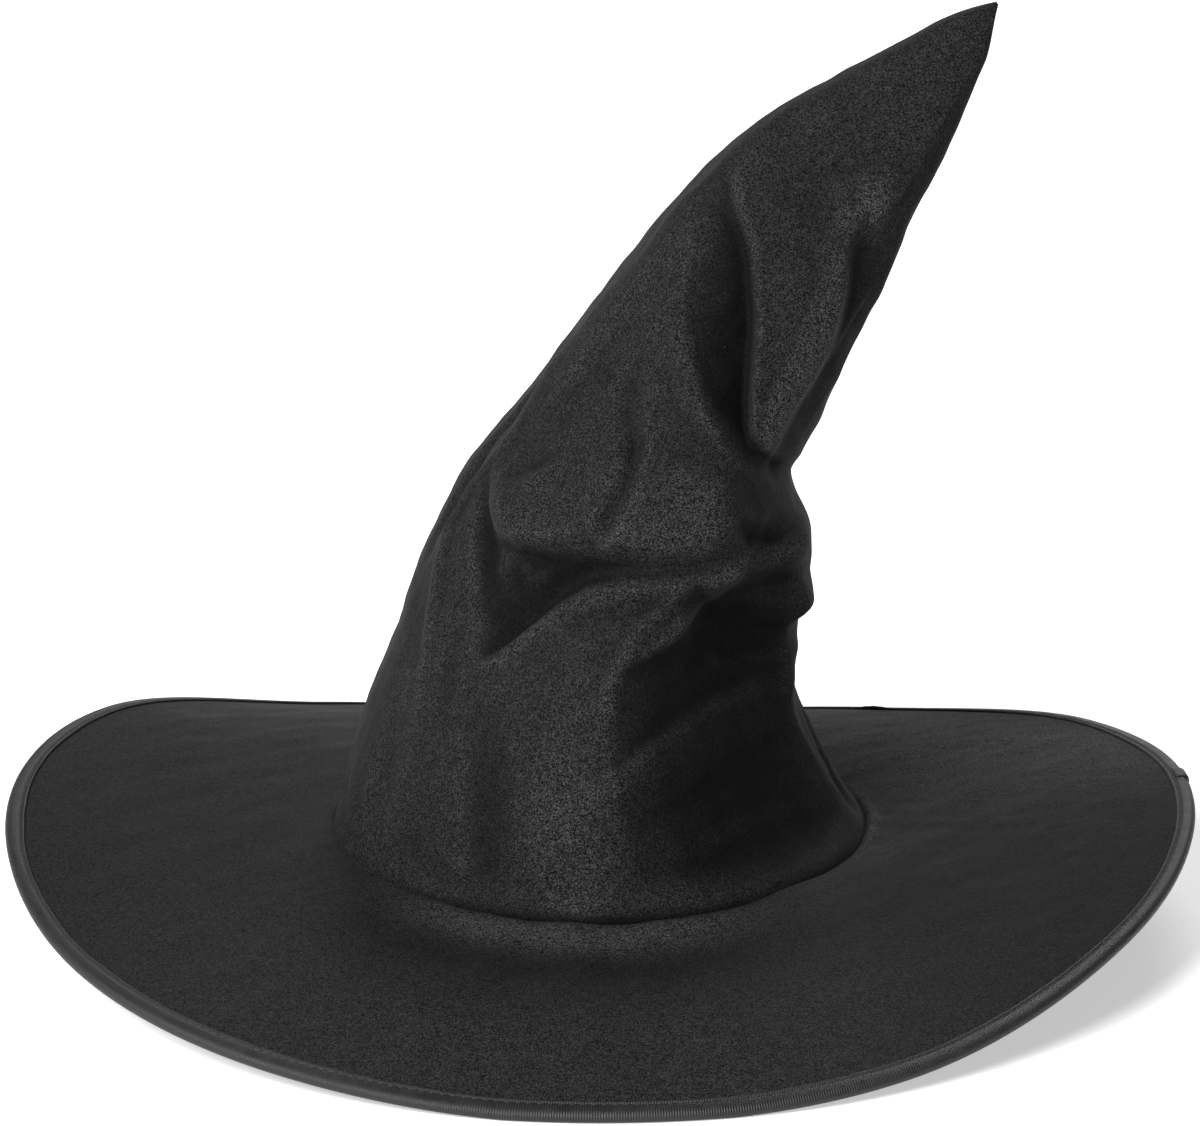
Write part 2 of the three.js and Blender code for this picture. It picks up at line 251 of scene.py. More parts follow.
# ---- Meshes ----
def mesh_object(name, points, faces, smooth=True):
    """An object from points in mm above the seam."""
    mesh = bpy.data.meshes.new(name)
    raised = np.asarray(points, float).reshape(-1, 3) + (0, 0, SEAM)
    mesh.from_pydata((raised * MM).tolist(), [], faces)
    mesh.polygons.foreach_set("use_smooth", [smooth] * len(mesh.polygons))
    mesh.update()
    obj = bpy.data.objects.new(name, mesh)
    bpy.context.scene.collection.objects.link(obj)
    return obj


def grid_faces(rows, columns, wrap_rows, start=0, flip=False):
    """Quads over a grid that wraps round its columns, and round its rows too if asked."""
    faces = []
    for row in range(rows if wrap_rows else rows - 1):
        here = start + row * columns
        above = start + ((row + 1) % rows) * columns
        for column in range(columns):
            beside = (column + 1) % columns
            quad = (here + column, here + beside, above + beside, above + column)
            faces.append(quad[::-1] if flip else quad)
    return faces


def ring_solid(name, walls):
    """A closed ring of any section: walls has a ring of points for each point of the section."""
    faces = grid_faces(walls.shape[0], walls.shape[1], True)
    return face_outwards(mesh_object(name, walls, faces))


def face_outwards(obj):
    """Turns a closed mesh's faces outwards."""
    mesh = obj.data
    mesh.calc_loop_triangles()
    co = np.empty(len(mesh.vertices) * 3)
    mesh.vertices.foreach_get("co", co)
    corners = np.empty(len(mesh.loop_triangles) * 3, int)
    mesh.loop_triangles.foreach_get("vertices", corners)
    a, b, c = co.reshape(-1, 3)[corners.reshape(-1, 3)].transpose(1, 0, 2)
    if np.einsum("ij,ij->i", a, np.cross(b, c)).sum() < 0:
        mesh.flip_normals()
    return obj


def place(obj, slot, node, material):
    """Gives a piece of the hat's body its material, puts it on the hat's body and hides the CAD node it
    stands for; slot is not used.
    """
    obj.data.materials.append(material)
    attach(obj, "hat")
    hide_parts(node)


# ---- Materials ----
class Nodes:
    """Short names for building a material's node tree."""

    def __init__(self, name):
        self.material = bpy.data.materials.new(name)
        self.material.use_nodes = True
        self.tree = self.material.node_tree
        self.shader = self.tree.nodes["Principled BSDF"]
        self.position = self.node("ShaderNodeTexCoord").outputs["Object"]

    def node(self, kind, inputs=None, **settings):
        made = self.tree.nodes.new(kind)
        for key, value in settings.items():
            setattr(made, key, value)
        for key, value in (inputs or {}).items():
            self.put(made.inputs[key], value)
        return made

    def put(self, socket, value):
        if isinstance(value, bpy.types.NodeSocket):
            self.tree.links.new(value, socket)
        else:
            socket.default_value = value

    def noise(self, size_mm, detail=2.0, stretch=(1, 1, 1), roughness=0.6):
        """Noise whose grains are about size_mm across, longer where stretch is more than 1."""
        scale = [1 / (size_mm * MM * part) for part in stretch]
        mapping = self.node("ShaderNodeMapping", {"Vector": self.position, "Scale": scale})
        made = self.node("ShaderNodeTexNoise", {"Vector": mapping.outputs[0], "Scale": 1.0,
                                                "Detail": detail, "Roughness": roughness})
        return made.outputs["Fac"]

    def math(self, operation, first, second=0.0):
        return self.node("ShaderNodeMath", {0: first, 1: second}, operation=operation).outputs[0]

    def times(self, first, second):
        return self.math("MULTIPLY", first, second)

    def total(self, first, *others):
        for other in others:
            first = self.math("ADD", first, other)
        return first

    def ramp(self, value, low, high, to_low, to_high):
        """Value between low and high, spread from to_low to to_high."""
        return self.node("ShaderNodeMapRange", {
            "Value": value, "From Min": low, "From Max": high, "To Min": to_low,
            "To Max": to_high}).outputs["Result"]

    def spread(self, noise, to_low, to_high):
        """A noise, most of whose values lie from 0.3 to 0.7, spread from to_low to to_high."""
        return self.ramp(noise, 0.3, 0.7, to_low, to_high)

    def greyed(self, level, blue=1.0):
        return self.node("ShaderNodeCombineColor", {
            0: level, 1: level, 2: self.times(level, blue)}).outputs[0]

    def turn_and_height(self):
        """The angle round the hat's axis, and the height."""
        place_at = self.node("ShaderNodeSeparateXYZ", {0: self.position}).outputs
        return self.math("ARCTAN2", place_at[1], place_at[0]), place_at[2]

    def linted(self, colour):
        """The colour with a few pale specks of lint on it."""
        cells = self.node("ShaderNodeTexVoronoi", {"Vector": self.position, "Scale": 70.0})
        chosen = self.node("ShaderNodeSeparateColor", {0: cells.outputs["Color"]}).outputs[0]
        speck = self.times(self.math("LESS_THAN", cells.outputs["Distance"], 0.02),
                           self.math("GREATER_THAN", chosen, 0.88))
        return self.mix(self.times(speck, 0.6), colour, grey(0.1))

    def mix(self, factor, first, second):
        made = self.node("ShaderNodeMix", data_type="RGBA")
        for index, value in ((0, factor), (6, first), (7, second)):
            self.put(made.inputs[index], value)
        return made.outputs[2]

    def bump(self, height, distance_mm, strength):
        return self.node("ShaderNodeBump", {"Height": height, "Strength": strength,
                                            "Distance": distance_mm * MM}).outputs["Normal"]

    def set(self, **values):
        """Sets the shader's sockets, and gives the finished material."""
        for key, value in values.items():
            self.put(self.shader.inputs[key.replace("_", " ")], value)
        return self.material


def grey(level, blue=1.04):
    return (level, level, level * blue, 1)


def velour(name, base, speckle, crinkle=None, painted_patches=False):
    """Brushed velour: a short dense nap that lies in soft patches, with a little lint on it."""
    nodes = Nodes(name)
    nap = nodes.noise(0.55, detail=2.0, roughness=0.7)
    tufts = nodes.noise(2.0, detail=3.0, roughness=0.65)
    patches = nodes.noise(9.0, detail=4.0, roughness=0.65)
    light = nodes.total(nodes.spread(nap, -speckle, speckle),
                        nodes.spread(tufts, -0.2 * speckle, 0.2 * speckle),
                        nodes.spread(patches, -0.15, 0.15))
    if crinkle:
        lines = nodes.noise(1.2, detail=3.0, stretch=crinkle)
        light = nodes.total(light, nodes.spread(lines, -0.12, 0.12))
    shade = 1.0
    if painted_patches:
        # The nap's colour is multiplied by its painted light and shade, and where that painted light is
        # brighter its tufts stand out more.
        shade = nodes.node("ShaderNodeAttribute", attribute_name="nap_painted_light").outputs["Fac"]
        light = nodes.times(light, nodes.ramp(shade, 0.7, 1.5, 0.75, 1.3))
    level = nodes.times(nodes.math("MAXIMUM", nodes.math("ADD", light, 1.0), 0.1), base)
    level = nodes.times(level, shade)
    height = nodes.total(nap, nodes.times(tufts, 1.2))
    return nodes.set(Base_Color=nodes.linted(nodes.greyed(level, 1.02)),
                     Roughness=nodes.spread(patches, 0.74, 0.86), Specular_IOR_Level=0.1,
                     Sheen_Weight=0.05, Sheen_Roughness=0.35, Sheen_Tint=(0.75, 0.76, 0.8, 1),
                     Normal=nodes.bump(height, 0.16, 0.8))


def ribbed_tape(name, base=0.014, rib_mm=0.9):
    """Semi-matt tape, woven with fine ribs across its length."""
    nodes = Nodes(name)
    turn, _ = nodes.turn_and_height()
    ribs = nodes.math("SINE", nodes.times(turn, 2 * math.pi * BRIM_RADIUS / rib_mm))
    yarn = nodes.noise(0.35)
    wear = nodes.noise(6.0)
    light = nodes.total(nodes.spread(yarn, -0.16, 0.16), nodes.spread(wear, -0.18, 0.18),
                        nodes.times(ribs, 0.10))
    level = nodes.times(nodes.math("ADD", light, 1.0), base)
    height = nodes.math("ADD", ribs, nodes.times(yarn, 1.5))
    return nodes.set(Base_Color=nodes.greyed(level, 1.03), Roughness=nodes.spread(wear, 0.42, 0.56),
                     Specular_IOR_Level=0.35, Normal=nodes.bump(height, 0.1, 0.6))


def plain_weave(name, base, yarn_mm=0.4, roughness=0.75):
    """Thin plain-woven cloth: two sets of crossing yarns, with slubs."""
    usual_radius = 80
    nodes = Nodes(name)
    turn, height = nodes.turn_and_height()
    warp = nodes.math("SINE", nodes.times(turn, 2 * math.pi * usual_radius / yarn_mm))
    weft = nodes.math("SINE", nodes.times(height, 2 * math.pi / (yarn_mm * MM)))
    weave = nodes.times(warp, weft)
    slubs = nodes.noise(5.0, detail=3.0)
    level = nodes.total(nodes.times(weave, 0.18), nodes.spread(slubs, -0.2, 0.2), 1.0)
    colour = nodes.mix(nodes.times(level, 0.5), grey(base * 0.4), grey(base * 1.6))
    return nodes.set(Base_Color=colour, Specular_IOR_Level=0.3,
                     Roughness=nodes.spread(slubs, roughness - 0.08, roughness + 0.08),
                     Normal=nodes.bump(weave, 0.08, 0.7))


def twisted_thread(name, base=0.02):
    """Polyester thread, two plies twisted."""
    nodes = Nodes(name)
    twist = nodes.noise(0.25)
    level = nodes.spread(twist, base * 0.6, base * 1.6)
    return nodes.set(Base_Color=nodes.greyed(level), Roughness=nodes.spread(twist, 0.45, 0.65),
                     Specular_IOR_Level=0.4, Normal=nodes.bump(twist, 0.1, 0.6))


def drawn_steel(name):
    """Bare steel, with fine marks along it from drawing."""
    nodes = Nodes(name)
    scratch = nodes.noise(0.5, detail=3.0, stretch=(6, 6, 1))
    return nodes.set(Base_Color=nodes.mix(scratch, grey(0.42), grey(0.6)), Metallic=1.0,
                     Roughness=nodes.spread(scratch, 0.28, 0.42))


def felted(name, base=0.07):
    """Non-woven interlining: matted fibres."""
    nodes = Nodes(name)
    fibres = nodes.noise(0.8, detail=4.0, stretch=(3, 1, 1))
    cross = nodes.noise(0.8, detail=4.0, stretch=(1, 3, 1))
    level = nodes.times(nodes.math("ADD", fibres, cross), base)
    return nodes.set(Base_Color=nodes.greyed(level), Roughness=nodes.spread(fibres, 0.85, 0.95),
                     Specular_IOR_Level=0.15, Normal=nodes.bump(fibres, 0.2, 0.5))


# ---- The crown's folds ----
STEPS_PER_SPAN = 24


class Fold:
    """A ridge or a valley along a path over the crown.

    The path's points are (degrees from the front towards the right, share of the way up, height in
    mm, reach to the left in mm, reach to the right in mm), where a valley's height is less than 0
    and left and right are those of someone walking along it. soft is from 0.03 for a crease to 1
    for a swell, or None for a facet, which is flat across the path and has two crisp edges.
    """

    def __init__(self, path, soft):
        rows = np.array(path, float)
        rows[:, 0] = np.radians(rows[:, 0])
        steps = STEPS_PER_SPAN * (len(rows) - 1)
        self.rows = spline(rows, np.linspace(0, 1, steps + 1))
        self.soft = soft
        angle, share = self.rows[:, 0], np.clip(self.rows[:, 1], 0.0, 0.99)
        self.points = crown_surface(share, angle)
        self.girth = cone_radius(share)

    def heights(self, points, shares, angles):
        """The fold's height at points of the crown."""
        reach = self.rows[:, 3:5].max()
        low = self.points.min(0) - reach
        high = self.points.max(0) + reach
        near = np.all((points > low) & (points < high), -1)
        heights = np.zeros(points.shape[:-1])
        if near.any():
            heights[near] = self.near(points[near], shares[near], angles[near])
        return heights

    def near(self, points, shares, angles):
        """The same, for points that may be within the fold's reach."""
        path = self.points
        squares = (points ** 2).sum(-1)[:, None] + (path ** 2).sum(-1) - 2 * points @ path.T
        closest = squares.argmin(1)
        best = np.full(len(points), np.inf)
        place = np.zeros(len(points))
        for step in (-1, 0):
            start = np.clip(closest + step, 0, len(path) - 2)
            span = path[start + 1] - path[start]
            along = ((points - path[start]) * span).sum(-1) / np.maximum((span ** 2).sum(-1), 1e-9)
            along = np.clip(along, 0, 1)
            distance = np.linalg.norm(points - path[start] - span * along[:, None], axis=-1)
            better = distance < best
            best = np.where(better, distance, best)
            place = np.where(better, start + along, place)
        low = np.minimum(place.astype(int), len(path) - 2)
        part = (place - low)[:, None]
        here = self.rows[low] * (1 - part) + self.rows[low + 1] * part
        girth = self.girth[low]
        turn = (angles - here[:, 0] + np.pi) % (2 * np.pi) - np.pi
        # The same point of the far side of the flat tip isn't near, though it is close through it.
        best = np.maximum(best, 0.6 * np.abs(turn) * girth)
        ahead = self.rows[low + 1] - self.rows[low]
        side = ahead[:, 0] * girth * (shares - here[:, 1]) - ahead[:, 1] * turn * girth
        reach = np.where(side > 0, here[:, 3], here[:, 4])
        t = np.clip(best / np.maximum(reach, 0.1), 0, 1)
        soft = self.soft
        if soft is None:
            return here[:, 2] * (1 - t * t)
        peak = math.sqrt(1 + soft * soft) - soft
        profile = 1 - (np.sqrt(t * t + soft * soft) - soft) / peak
        # The foot of a soft fold runs out smoothly.
        foot = smooth_step(1 - t, 0, 0.4 * min(1, 0.2 + soft))
        return here[:, 2] * profile * foot


FOLDS = [
    # The flap of the tip: a deep valley runs down under its left edge and round to the right
    Fold([(-64, 0.715, 0, 1.5, 9), (-53, 0.69, -2, 1.5, 14), (-22, 0.653, -6, 1.5, 20),
          (-9, 0.626, -8, 1.5, 23), (2, 0.595, -11, 1.5, 24), (11, 0.557, -12, 1.5, 20),
          (20, 0.517, -12, 1.5, 15), (28, 0.487, -10, 1.5, 9), (43, 0.468, -7, 2, 6),
          (72, 0.437, -3, 6, 7), (98, 0.42, 0, 6, 7)], 0.10),
    # Its rolled left edge, and the line where the valley's lower slope starts
    Fold([(-66, 0.73, 0, 3, 2), (-47, 0.694, 0.5, 3, 2), (-18, 0.658, 0.8, 3, 1.5),
          (-6, 0.63, 0.9, 3, 1.5), (5, 0.598, 0.9, 3, 1.5), (14, 0.559, 0.9, 3, 1.5),
          (23, 0.519, 0.9, 3, 1.5), (31, 0.49, 0.8, 3, 1.5), (45, 0.472, 0, 3, 1.5)], 0.1),
    Fold([(-34, 0.575, 0, 5, 8), (-22, 0.553, 0.8, 4, 8), (-9, 0.53, 1.5, 4, 8),
          (0, 0.51, 1.9, 4, 8), (18, 0.488, 2.0, 4, 7), (34, 0.473, 1.4, 3, 6),
          (50, 0.455, 0, 4, 6)], 0.15),
    # The flap's crest beside its turned right edge, its dent, and the light swell over the dent
    Fold([(26, 0.74, 0, 3, 9), (28, 0.695, 1.6, 3, 10), (41, 0.64, 2.4, 3, 12),
          (47, 0.578, 3.0, 3, 14), (43, 0.52, 3.2, 3, 13), (43, 0.48, 2.4, 3, 8),
          (44, 0.46, 0, 3, 5)], 0.35),
    Fold([(31, 0.74, 0, 14, 3), (33, 0.69, -3.0, 18, 3), (46, 0.64, -3.6, 18, 3),
          (54, 0.58, -2.6, 16, 3), (50, 0.52, -1.8, 12, 3), (50, 0.48, 0, 10, 3)], 0.4),
    Fold([(12, 0.77, 0, 10, 10), (24, 0.755, 2.2, 12, 8), (36, 0.735, 2.8, 12, 6),
          (48, 0.73, 0, 10, 6)], 0.5),
    Fold([(-12, 0.76, 0, 9, 9), (0, 0.72, -1.2, 9, 9), (14, 0.68, 0, 9, 9)], 0.5),
    # Left of the flap, a shallow valley under the light left edge
    Fold([(-48, 0.63, 0, 9, 9), (-52, 0.58, -1.6, 10, 9), (-50, 0.53, -1.8, 10, 9),
          (-52, 0.46, -1.6, 10, 9), (-58, 0.42, 0, 10, 9)], 0.3),
    Fold([(-36, 0.55, 0, 5, 6), (-27, 0.49, -1.8, 5, 6), (-16, 0.45, -1.8, 5, 6),
          (-12, 0.43, 0, 5, 6)], 0.15),
    # Two swells over the pinched middle, with a narrow crease down between them
    Fold([(-70, 0.385, 0, 16, 3), (-60, 0.354, 2.5, 28, 3.5), (-46, 0.336, 4.5, 34, 4),
          (-30, 0.334, 4.5, 36, 4), (-18, 0.342, 3.5, 34, 6), (-6, 0.356, 2.8, 34, 9),
          (8, 0.366, 3, 34, 11), (22, 0.378, 3, 30, 12), (36, 0.392, 2, 24, 10),
          (46, 0.402, 0, 14, 8)], 0.3),
    Fold([(-20, 0.48, 0, 3, 3), (-13, 0.445, -2.0, 3, 4), (-11, 0.41, -3.0, 4, 5),
          (-12, 0.375, -2.6, 4, 6), (-14, 0.352, -1.6, 4, 6), (-18, 0.335, 0, 4, 5)], 0.08),
    # The pit on the left: it slopes down and to the right, and its lower edge is a sharp crease
    Fold([(-40, 0.215, 0, 8, 3), (-34, 0.231, -6, 14, 3), (-27, 0.262, -10, 22, 3),
          (-18, 0.295, -9, 22, 3.5), (-10, 0.318, -5.5, 14, 4), (2, 0.331, -2.4, 8, 4),
          (18, 0.336, -1.2, 6, 4), (34, 0.346, -1.0, 6, 4), (46, 0.36, 0, 6, 5)], 0.2),
    Fold([(-70, 0.37, 0, 8, 3), (-63, 0.348, -3, 10, 3), (-54, 0.318, -4, 10, 4),
          (-46, 0.285, -3, 8, 4), (-42, 0.25, 0, 6, 4)], 0.2),
    # The band across the middle, and the short pinch over its right end
    Fold([(-26, 0.262, 0, 3, 10), (-16, 0.29, 1.8, 3, 9), (-2, 0.308, 2.4, 3, 9),
          (14, 0.317, 2.8, 4, 7), (30, 0.322, 3.2, 6, 6), (48, 0.332, 3.6, 7, 7),
          (66, 0.345, 3.4, 7, 8), (90, 0.365, 0, 7, 8)], 0.25),
    Fold([(34, 0.40, 0, 3, 4), (42, 0.378, -3.6, 5, 5), (50, 0.367, -4.0, 6, 4),
          (60, 0.362, 0, 5, 4)], 0.12),
    # The swell under the band's right end, and the black crease under that
    Fold([(30, 0.312, 0, 6, 3), (44, 0.298, 3.0, 8, 6), (58, 0.28, 3.8, 10, 6),
          (74, 0.27, 3.4, 10, 6), (92, 0.268, 0, 8, 6)], 0.45),
    Fold([(18, 0.318, 0, 3, 8), (24, 0.305, -3.5, 3, 13), (32, 0.288, -4, 3, 15),
          (42, 0.268, -4, 3, 15), (54, 0.252, -4, 3.5, 14), (68, 0.243, -4, 4, 12),
          (86, 0.235, -2.5, 4, 9), (100, 0.23, 0, 5, 9)], 0.7),
    # The facet under it, flat between a crisp edge near the front and another at the right
    Fold([(54, -0.04, -3, 62, 44), (53, 0.04, -7, 62, 44), (51, 0.10, -12, 60, 42),
          (48, 0.16, -14.5, 54, 38), (45, 0.215, -14.5, 49, 36), (41, 0.265, -13, 42, 32),
          (36, 0.30, -8, 28, 26), (31, 0.32, 0, 16, 18)], None),
    Fold([(21, 0.322, 0, 3, 3), (14, 0.30, 0.9, 4, 3), (5, 0.258, 1.2, 5, 4), (3, 0.21, 1.2, 5, 4),
          (4, 0.17, 0, 4, 5)], 0.3),
    # The streak across that facet
    Fold([(-8, 0.09, 0, 5, 14), (4, 0.12, 1.2, 5, 16), (14, 0.142, 2.8, 6, 19),
          (26, 0.162, 4.0, 7, 21), (40, 0.178, 4.2, 8, 22), (56, 0.186, 3.6, 8, 20),
          (72, 0.184, 2.0, 7, 16), (90, 0.176, 0, 7, 12)], 0.4),
    Fold([(100, 0.155, 0, 6, 8), (94, 0.10, -2.4, 8, 8), (92, 0.05, -2.8, 8, 8),
          (90, 0.0, -2.0, 8, 8)], 0.6),
    # Down the left: a rolled edge with a valley behind it, and two shallow upright folds
    Fold([(-76, 0.43, 0, 3, 3), (-72, 0.40, 1.0, 3.5, 3), (-75, 0.35, 1.6, 3.5, 3),
          (-73, 0.31, 1.8, 3.5, 3), (-69, 0.28, 1.7, 4, 3.5), (-63, 0.235, 1.5, 4, 4),
          (-58, 0.185, 1.2, 4, 4), (-53, 0.13, 0, 4, 4)], 0.12),
    Fold([(-96, 0.50, 0, 9, 9), (-88, 0.44, -3.0, 9, 8), (-86, 0.38, -3.0, 8, 6),
          (-84, 0.31, -2.2, 8, 6), (-76, 0.25, 0, 8, 5)], 0.3),
    Fold([(-96, 0.73, 0, 16, 16), (-96, 0.66, -1.6, 18, 18), (-96, 0.58, -1.2, 18, 18),
          (-98, 0.50, -2.6, 18, 18), (-98, 0.45, -2.6, 16, 16), (-98, 0.39, 0, 12, 12)], 0.8),
    Fold([(-50, 0.24, 0, 6, 6), (-47, 0.19, -1.2, 6, 6), (-45, 0.14, 0, 6, 6)], 0.3),
    Fold([(-36, 0.19, 0, 9, 9), (-28, 0.13, -1.6, 12, 10), (-25, 0.08, -2, 12, 10),
          (-24, 0.03, -1.6, 12, 10), (-24, -0.02, 0, 12, 10)], 0.5),
    Fold([(-62, 0.16, 0, 10, 10), (-60, 0.10, -1.2, 11, 10), (-60, 0.04, -1.0, 11, 10),
          (-60, -0.01, 0, 11, 10)], 0.5),
    # Across the back the cloth bunches where the crown bends
    Fold([(104, 0.455, 0, 8, 10), (122, 0.44, -7, 8, 12), (150, 0.405, -9, 9, 15),
          (182, 0.39, -9, 9, 15), (212, 0.41, -7, 8, 12), (236, 0.44, 0, 8, 10)], 0.1),
    Fold([(112, 0.33, 0, 8, 12), (134, 0.30, -6, 8, 14), (162, 0.272, -7, 9, 17),
          (192, 0.28, -6, 9, 15), (222, 0.31, 0, 8, 12)], 0.12),
    Fold([(126, 0.37, 0, 12, 10), (152, 0.35, 3, 14, 12), (184, 0.335, 3.5, 14, 12),
          (210, 0.36, 0, 12, 10)], 0.6),
    Fold([(150, 0.60, 0, 8, 10), (168, 0.555, -4, 8, 12), (190, 0.52, -5, 9, 12),
          (214, 0.50, 0, 8, 10)], 0.12),
    Fold([(204, 0.26, 0, 12, 12), (206, 0.18, -3.4, 14, 12), (203, 0.08, -3, 14, 12),
          (202, 0.0, 0, 12, 12)], 0.4),
    Fold([(146, 0.25, 0, 12, 12), (143, 0.17, -3, 14, 12), (140, 0.08, -2.4, 14, 12),
          (139, 0.0, 0, 12, 12)], 0.4),
    Fold([(246, 0.34, 0, 10, 12), (240, 0.26, -3.4, 12, 12), (233, 0.17, -3, 12, 12),
          (230, 0.06, 0, 12, 12)], 0.35),
]

# Painted shade and painted light on the crown's nap, partly the nap's own lie and partly the light and
# shade of
# the folds: places as for a fold, with the darkening as the height, so that less than 0 is lighter.
NAP_PAINTED_LIGHT = [
    # Painted shade on the facet, which faces away from the light, and painted light on the streak over it
    Fold([(56, -0.04, 0.75, 56, 60), (54, 0.04, 0.8, 56, 60), (52, 0.10, 0.8, 54, 60),
          (48, 0.16, 0.85, 51, 56), (45, 0.215, 0.95, 47, 52), (41, 0.265, 0.95, 42, 46),
          (36, 0.30, 0.7, 28, 34), (31, 0.32, 0, 16, 18)], None),
    Fold([(0, 0.10, 0, 8, 16), (14, 0.135, -0.35, 8, 19), (28, 0.155, -0.45, 8, 20),
          (44, 0.17, -0.45, 8, 20), (60, 0.176, -0.3, 8, 16), (74, 0.17, 0, 6, 12)], 0.6),
    # Painted shade: the flap's valley, the pit, right of the swells, under the band, the upright fold
    Fold([(-56, 0.69, 0.2, 1, 14), (-22, 0.653, 0.6, 1, 20), (-9, 0.626, 0.8, 1, 24),
          (2, 0.595, 0.9, 1, 24), (11, 0.557, 0.9, 1, 21), (20, 0.517, 0.9, 1, 16),
          (28, 0.487, 0.8, 1, 11), (43, 0.467, 0.7, 2, 9), (76, 0.435, 0.4, 6, 10)], 0.8),
    Fold([(-38, 0.222, 0.2, 12, 2.5), (-32, 0.243, 0.8, 26, 2.5), (-24, 0.275, 0.95, 30, 2.5),
          (-15, 0.304, 0.95, 22, 3), (-6, 0.325, 0.6, 10, 3), (4, 0.333, 0, 8, 3)], 0.6),
    Fold([(-66, 0.36, 0, 8, 4), (-58, 0.335, 0.5, 12, 5), (-50, 0.305, 0.6, 14, 7),
          (-43, 0.27, 0.5, 12, 8), (-40, 0.235, 0, 8, 6)], 0.6),
    Fold([(40, 0.48, 0.3, 8, 10), (44, 0.44, 0.6, 14, 20), (48, 0.405, 0.65, 16, 22),
          (58, 0.375, 0.6, 14, 20), (72, 0.365, 0.5, 10, 12)], 0.8),
    Fold([(30, 0.30, 0, 4, 6), (46, 0.285, 0.2, 8, 10), (62, 0.272, 0.3, 10, 12),
          (84, 0.27, 0.3, 12, 12)], 0.6),
    Fold([(-32, 0.20, 0, 10, 9), (-28, 0.14, 0.25, 13, 10), (-25, 0.07, 0.3, 13, 10),
          (-24, 0.0, 0.25, 13, 10)], 0.8),
    # Painted light: down the front and the left, the swells, the band's right end, the tip's left edge
    Fold([(-4, 0.26, 0, 12, 10), (-5, 0.19, -0.4, 16, 14), (-6, 0.11, -1.0, 19, 16),
          (-5, 0.03, -1.1, 20, 18)], 0.8),
    Fold([(-58, 0.26, 0, 14, 10), (-60, 0.16, -0.4, 18, 16), (-60, 0.05, -0.4, 18, 16)], 0.8),
    Fold([(-40, 0.36, 0, 10, 10), (-26, 0.37, -0.1, 18, 14), (0, 0.38, -0.5, 22, 18),
          (16, 0.39, -1.15, 24, 18), (26, 0.40, -0.95, 16, 14), (36, 0.40, 0, 10, 10)], 0.8),
    Fold([(10, 0.335, 0, 6, 6), (28, 0.335, -0.7, 8, 7), (46, 0.345, -0.6, 8, 7),
          (62, 0.352, -0.5, 8, 7), (80, 0.36, 0, 8, 7)], 0.8),
    Fold([(-56, 0.42, 0, 10, 18), (-66, 0.50, -0.3, 14, 18), (-62, 0.60, -0.3, 12, 16),
          (-50, 0.68, -0.1, 10, 14)], 0.8),
    # Painted light on the tip's swell, crest and flap, and painted shade on the strip down its right edge
    Fold([(8, 0.745, 0, 14, 12), (20, 0.735, -0.7, 22, 14), (34, 0.725, -0.9, 20, 13),
          (48, 0.73, -0.4, 14, 8)], 0.8),
    Fold([(28, 0.70, 0, 2, 9), (41, 0.64, -0.9, 2, 13), (48, 0.578, -1.4, 2, 16),
          (44, 0.52, -1.5, 2, 16), (44, 0.48, -1.3, 2, 11), (44, 0.462, 0, 2, 8)], 0.8),
    Fold([(8, 0.66, 0, 14, 14), (22, 0.60, -0.35, 16, 14), (32, 0.53, -0.35, 14, 10)], 0.8),
    Fold([(50, 0.93, 0.2, 14, 1.5), (50, 0.85, 0.55, 14, 1.5), (50, 0.765, 0.6, 14, 1.5),
          (38, 0.72, 0.7, 18, 1.5), (36, 0.69, 0.85, 20, 1.5), (46, 0.64, 0.85, 20, 1.5),
          (52, 0.58, 0.75, 20, 1.5), (49, 0.52, 0.6, 18, 1.5), (49, 0.47, 0.5, 14, 1.5)], None),
]

# Where the cloth is crushed: degrees from the front, spread, share, spread, height in mm
CRUSHED = [(-22, 18, 0.305, 0.022, 1.0), (-10, 16, 0.36, 0.03, 0.8),
           (46, 12, 0.372, 0.022, 1.2), (150, 50, 0.40, 0.05, 0.6)]

CROWN_COLUMNS = 300
CROWN_ROWS = 260
# The inner walls have one column and one row for this many of the outer surface's.
COARSE = 4
CROWN_END = 0.998


def rolling(grid, steps, take):
    """The least or greatest value within a number of steps, round the columns and along the rows."""
    result = grid
    for shift in range(-steps, steps + 1):
        result = take(result, np.roll(grid, shift, 1))
    grid = result
    padded = np.pad(grid, ((steps, steps), (0, 0)), mode="edge")
    for shift in range(2 * steps + 1):
        result = take(result, padded[shift:shift + len(grid)])
    return result


def softened(grid, passes):
    """The grid with its values blurred a little at each pass."""
    for _ in range(passes):
        grid = (2 * grid + np.roll(grid, 1, 1) + np.roll(grid, -1, 1)) / 4
        above = np.vstack([grid[1:], grid[-1:]])
        below = np.vstack([grid[:1], grid[:-1]])
        grid = (2 * grid + above + below) / 4
    return grid


def grid_normals(points):
    """Outward unit normals of a grid of rings."""
    along = np.gradient(points, axis=0)
    around = np.roll(points, -1, 1) - np.roll(points, 1, 1)
    normals = np.cross(around, along)
    return normals / np.maximum(np.linalg.norm(normals, axis=-1, keepdims=True), 1e-9)


def crumples(points, angle, share):
    """Small sharp creases where the cloth is crushed most: in the pit, and above the band."""
    turn = np.degrees((angle + np.pi) % (2 * np.pi) - np.pi)
    creases = 0.8 - np.abs(wobble(points, 15, 11)) - 0.6 * np.abs(wobble(points, 8, 12))
    crushed = sum(size * np.exp(-((turn - at) / wide) ** 2 - ((share - up) / tall) ** 2)
                  for at, wide, up, tall, size in CRUSHED)
    return crushed * creases


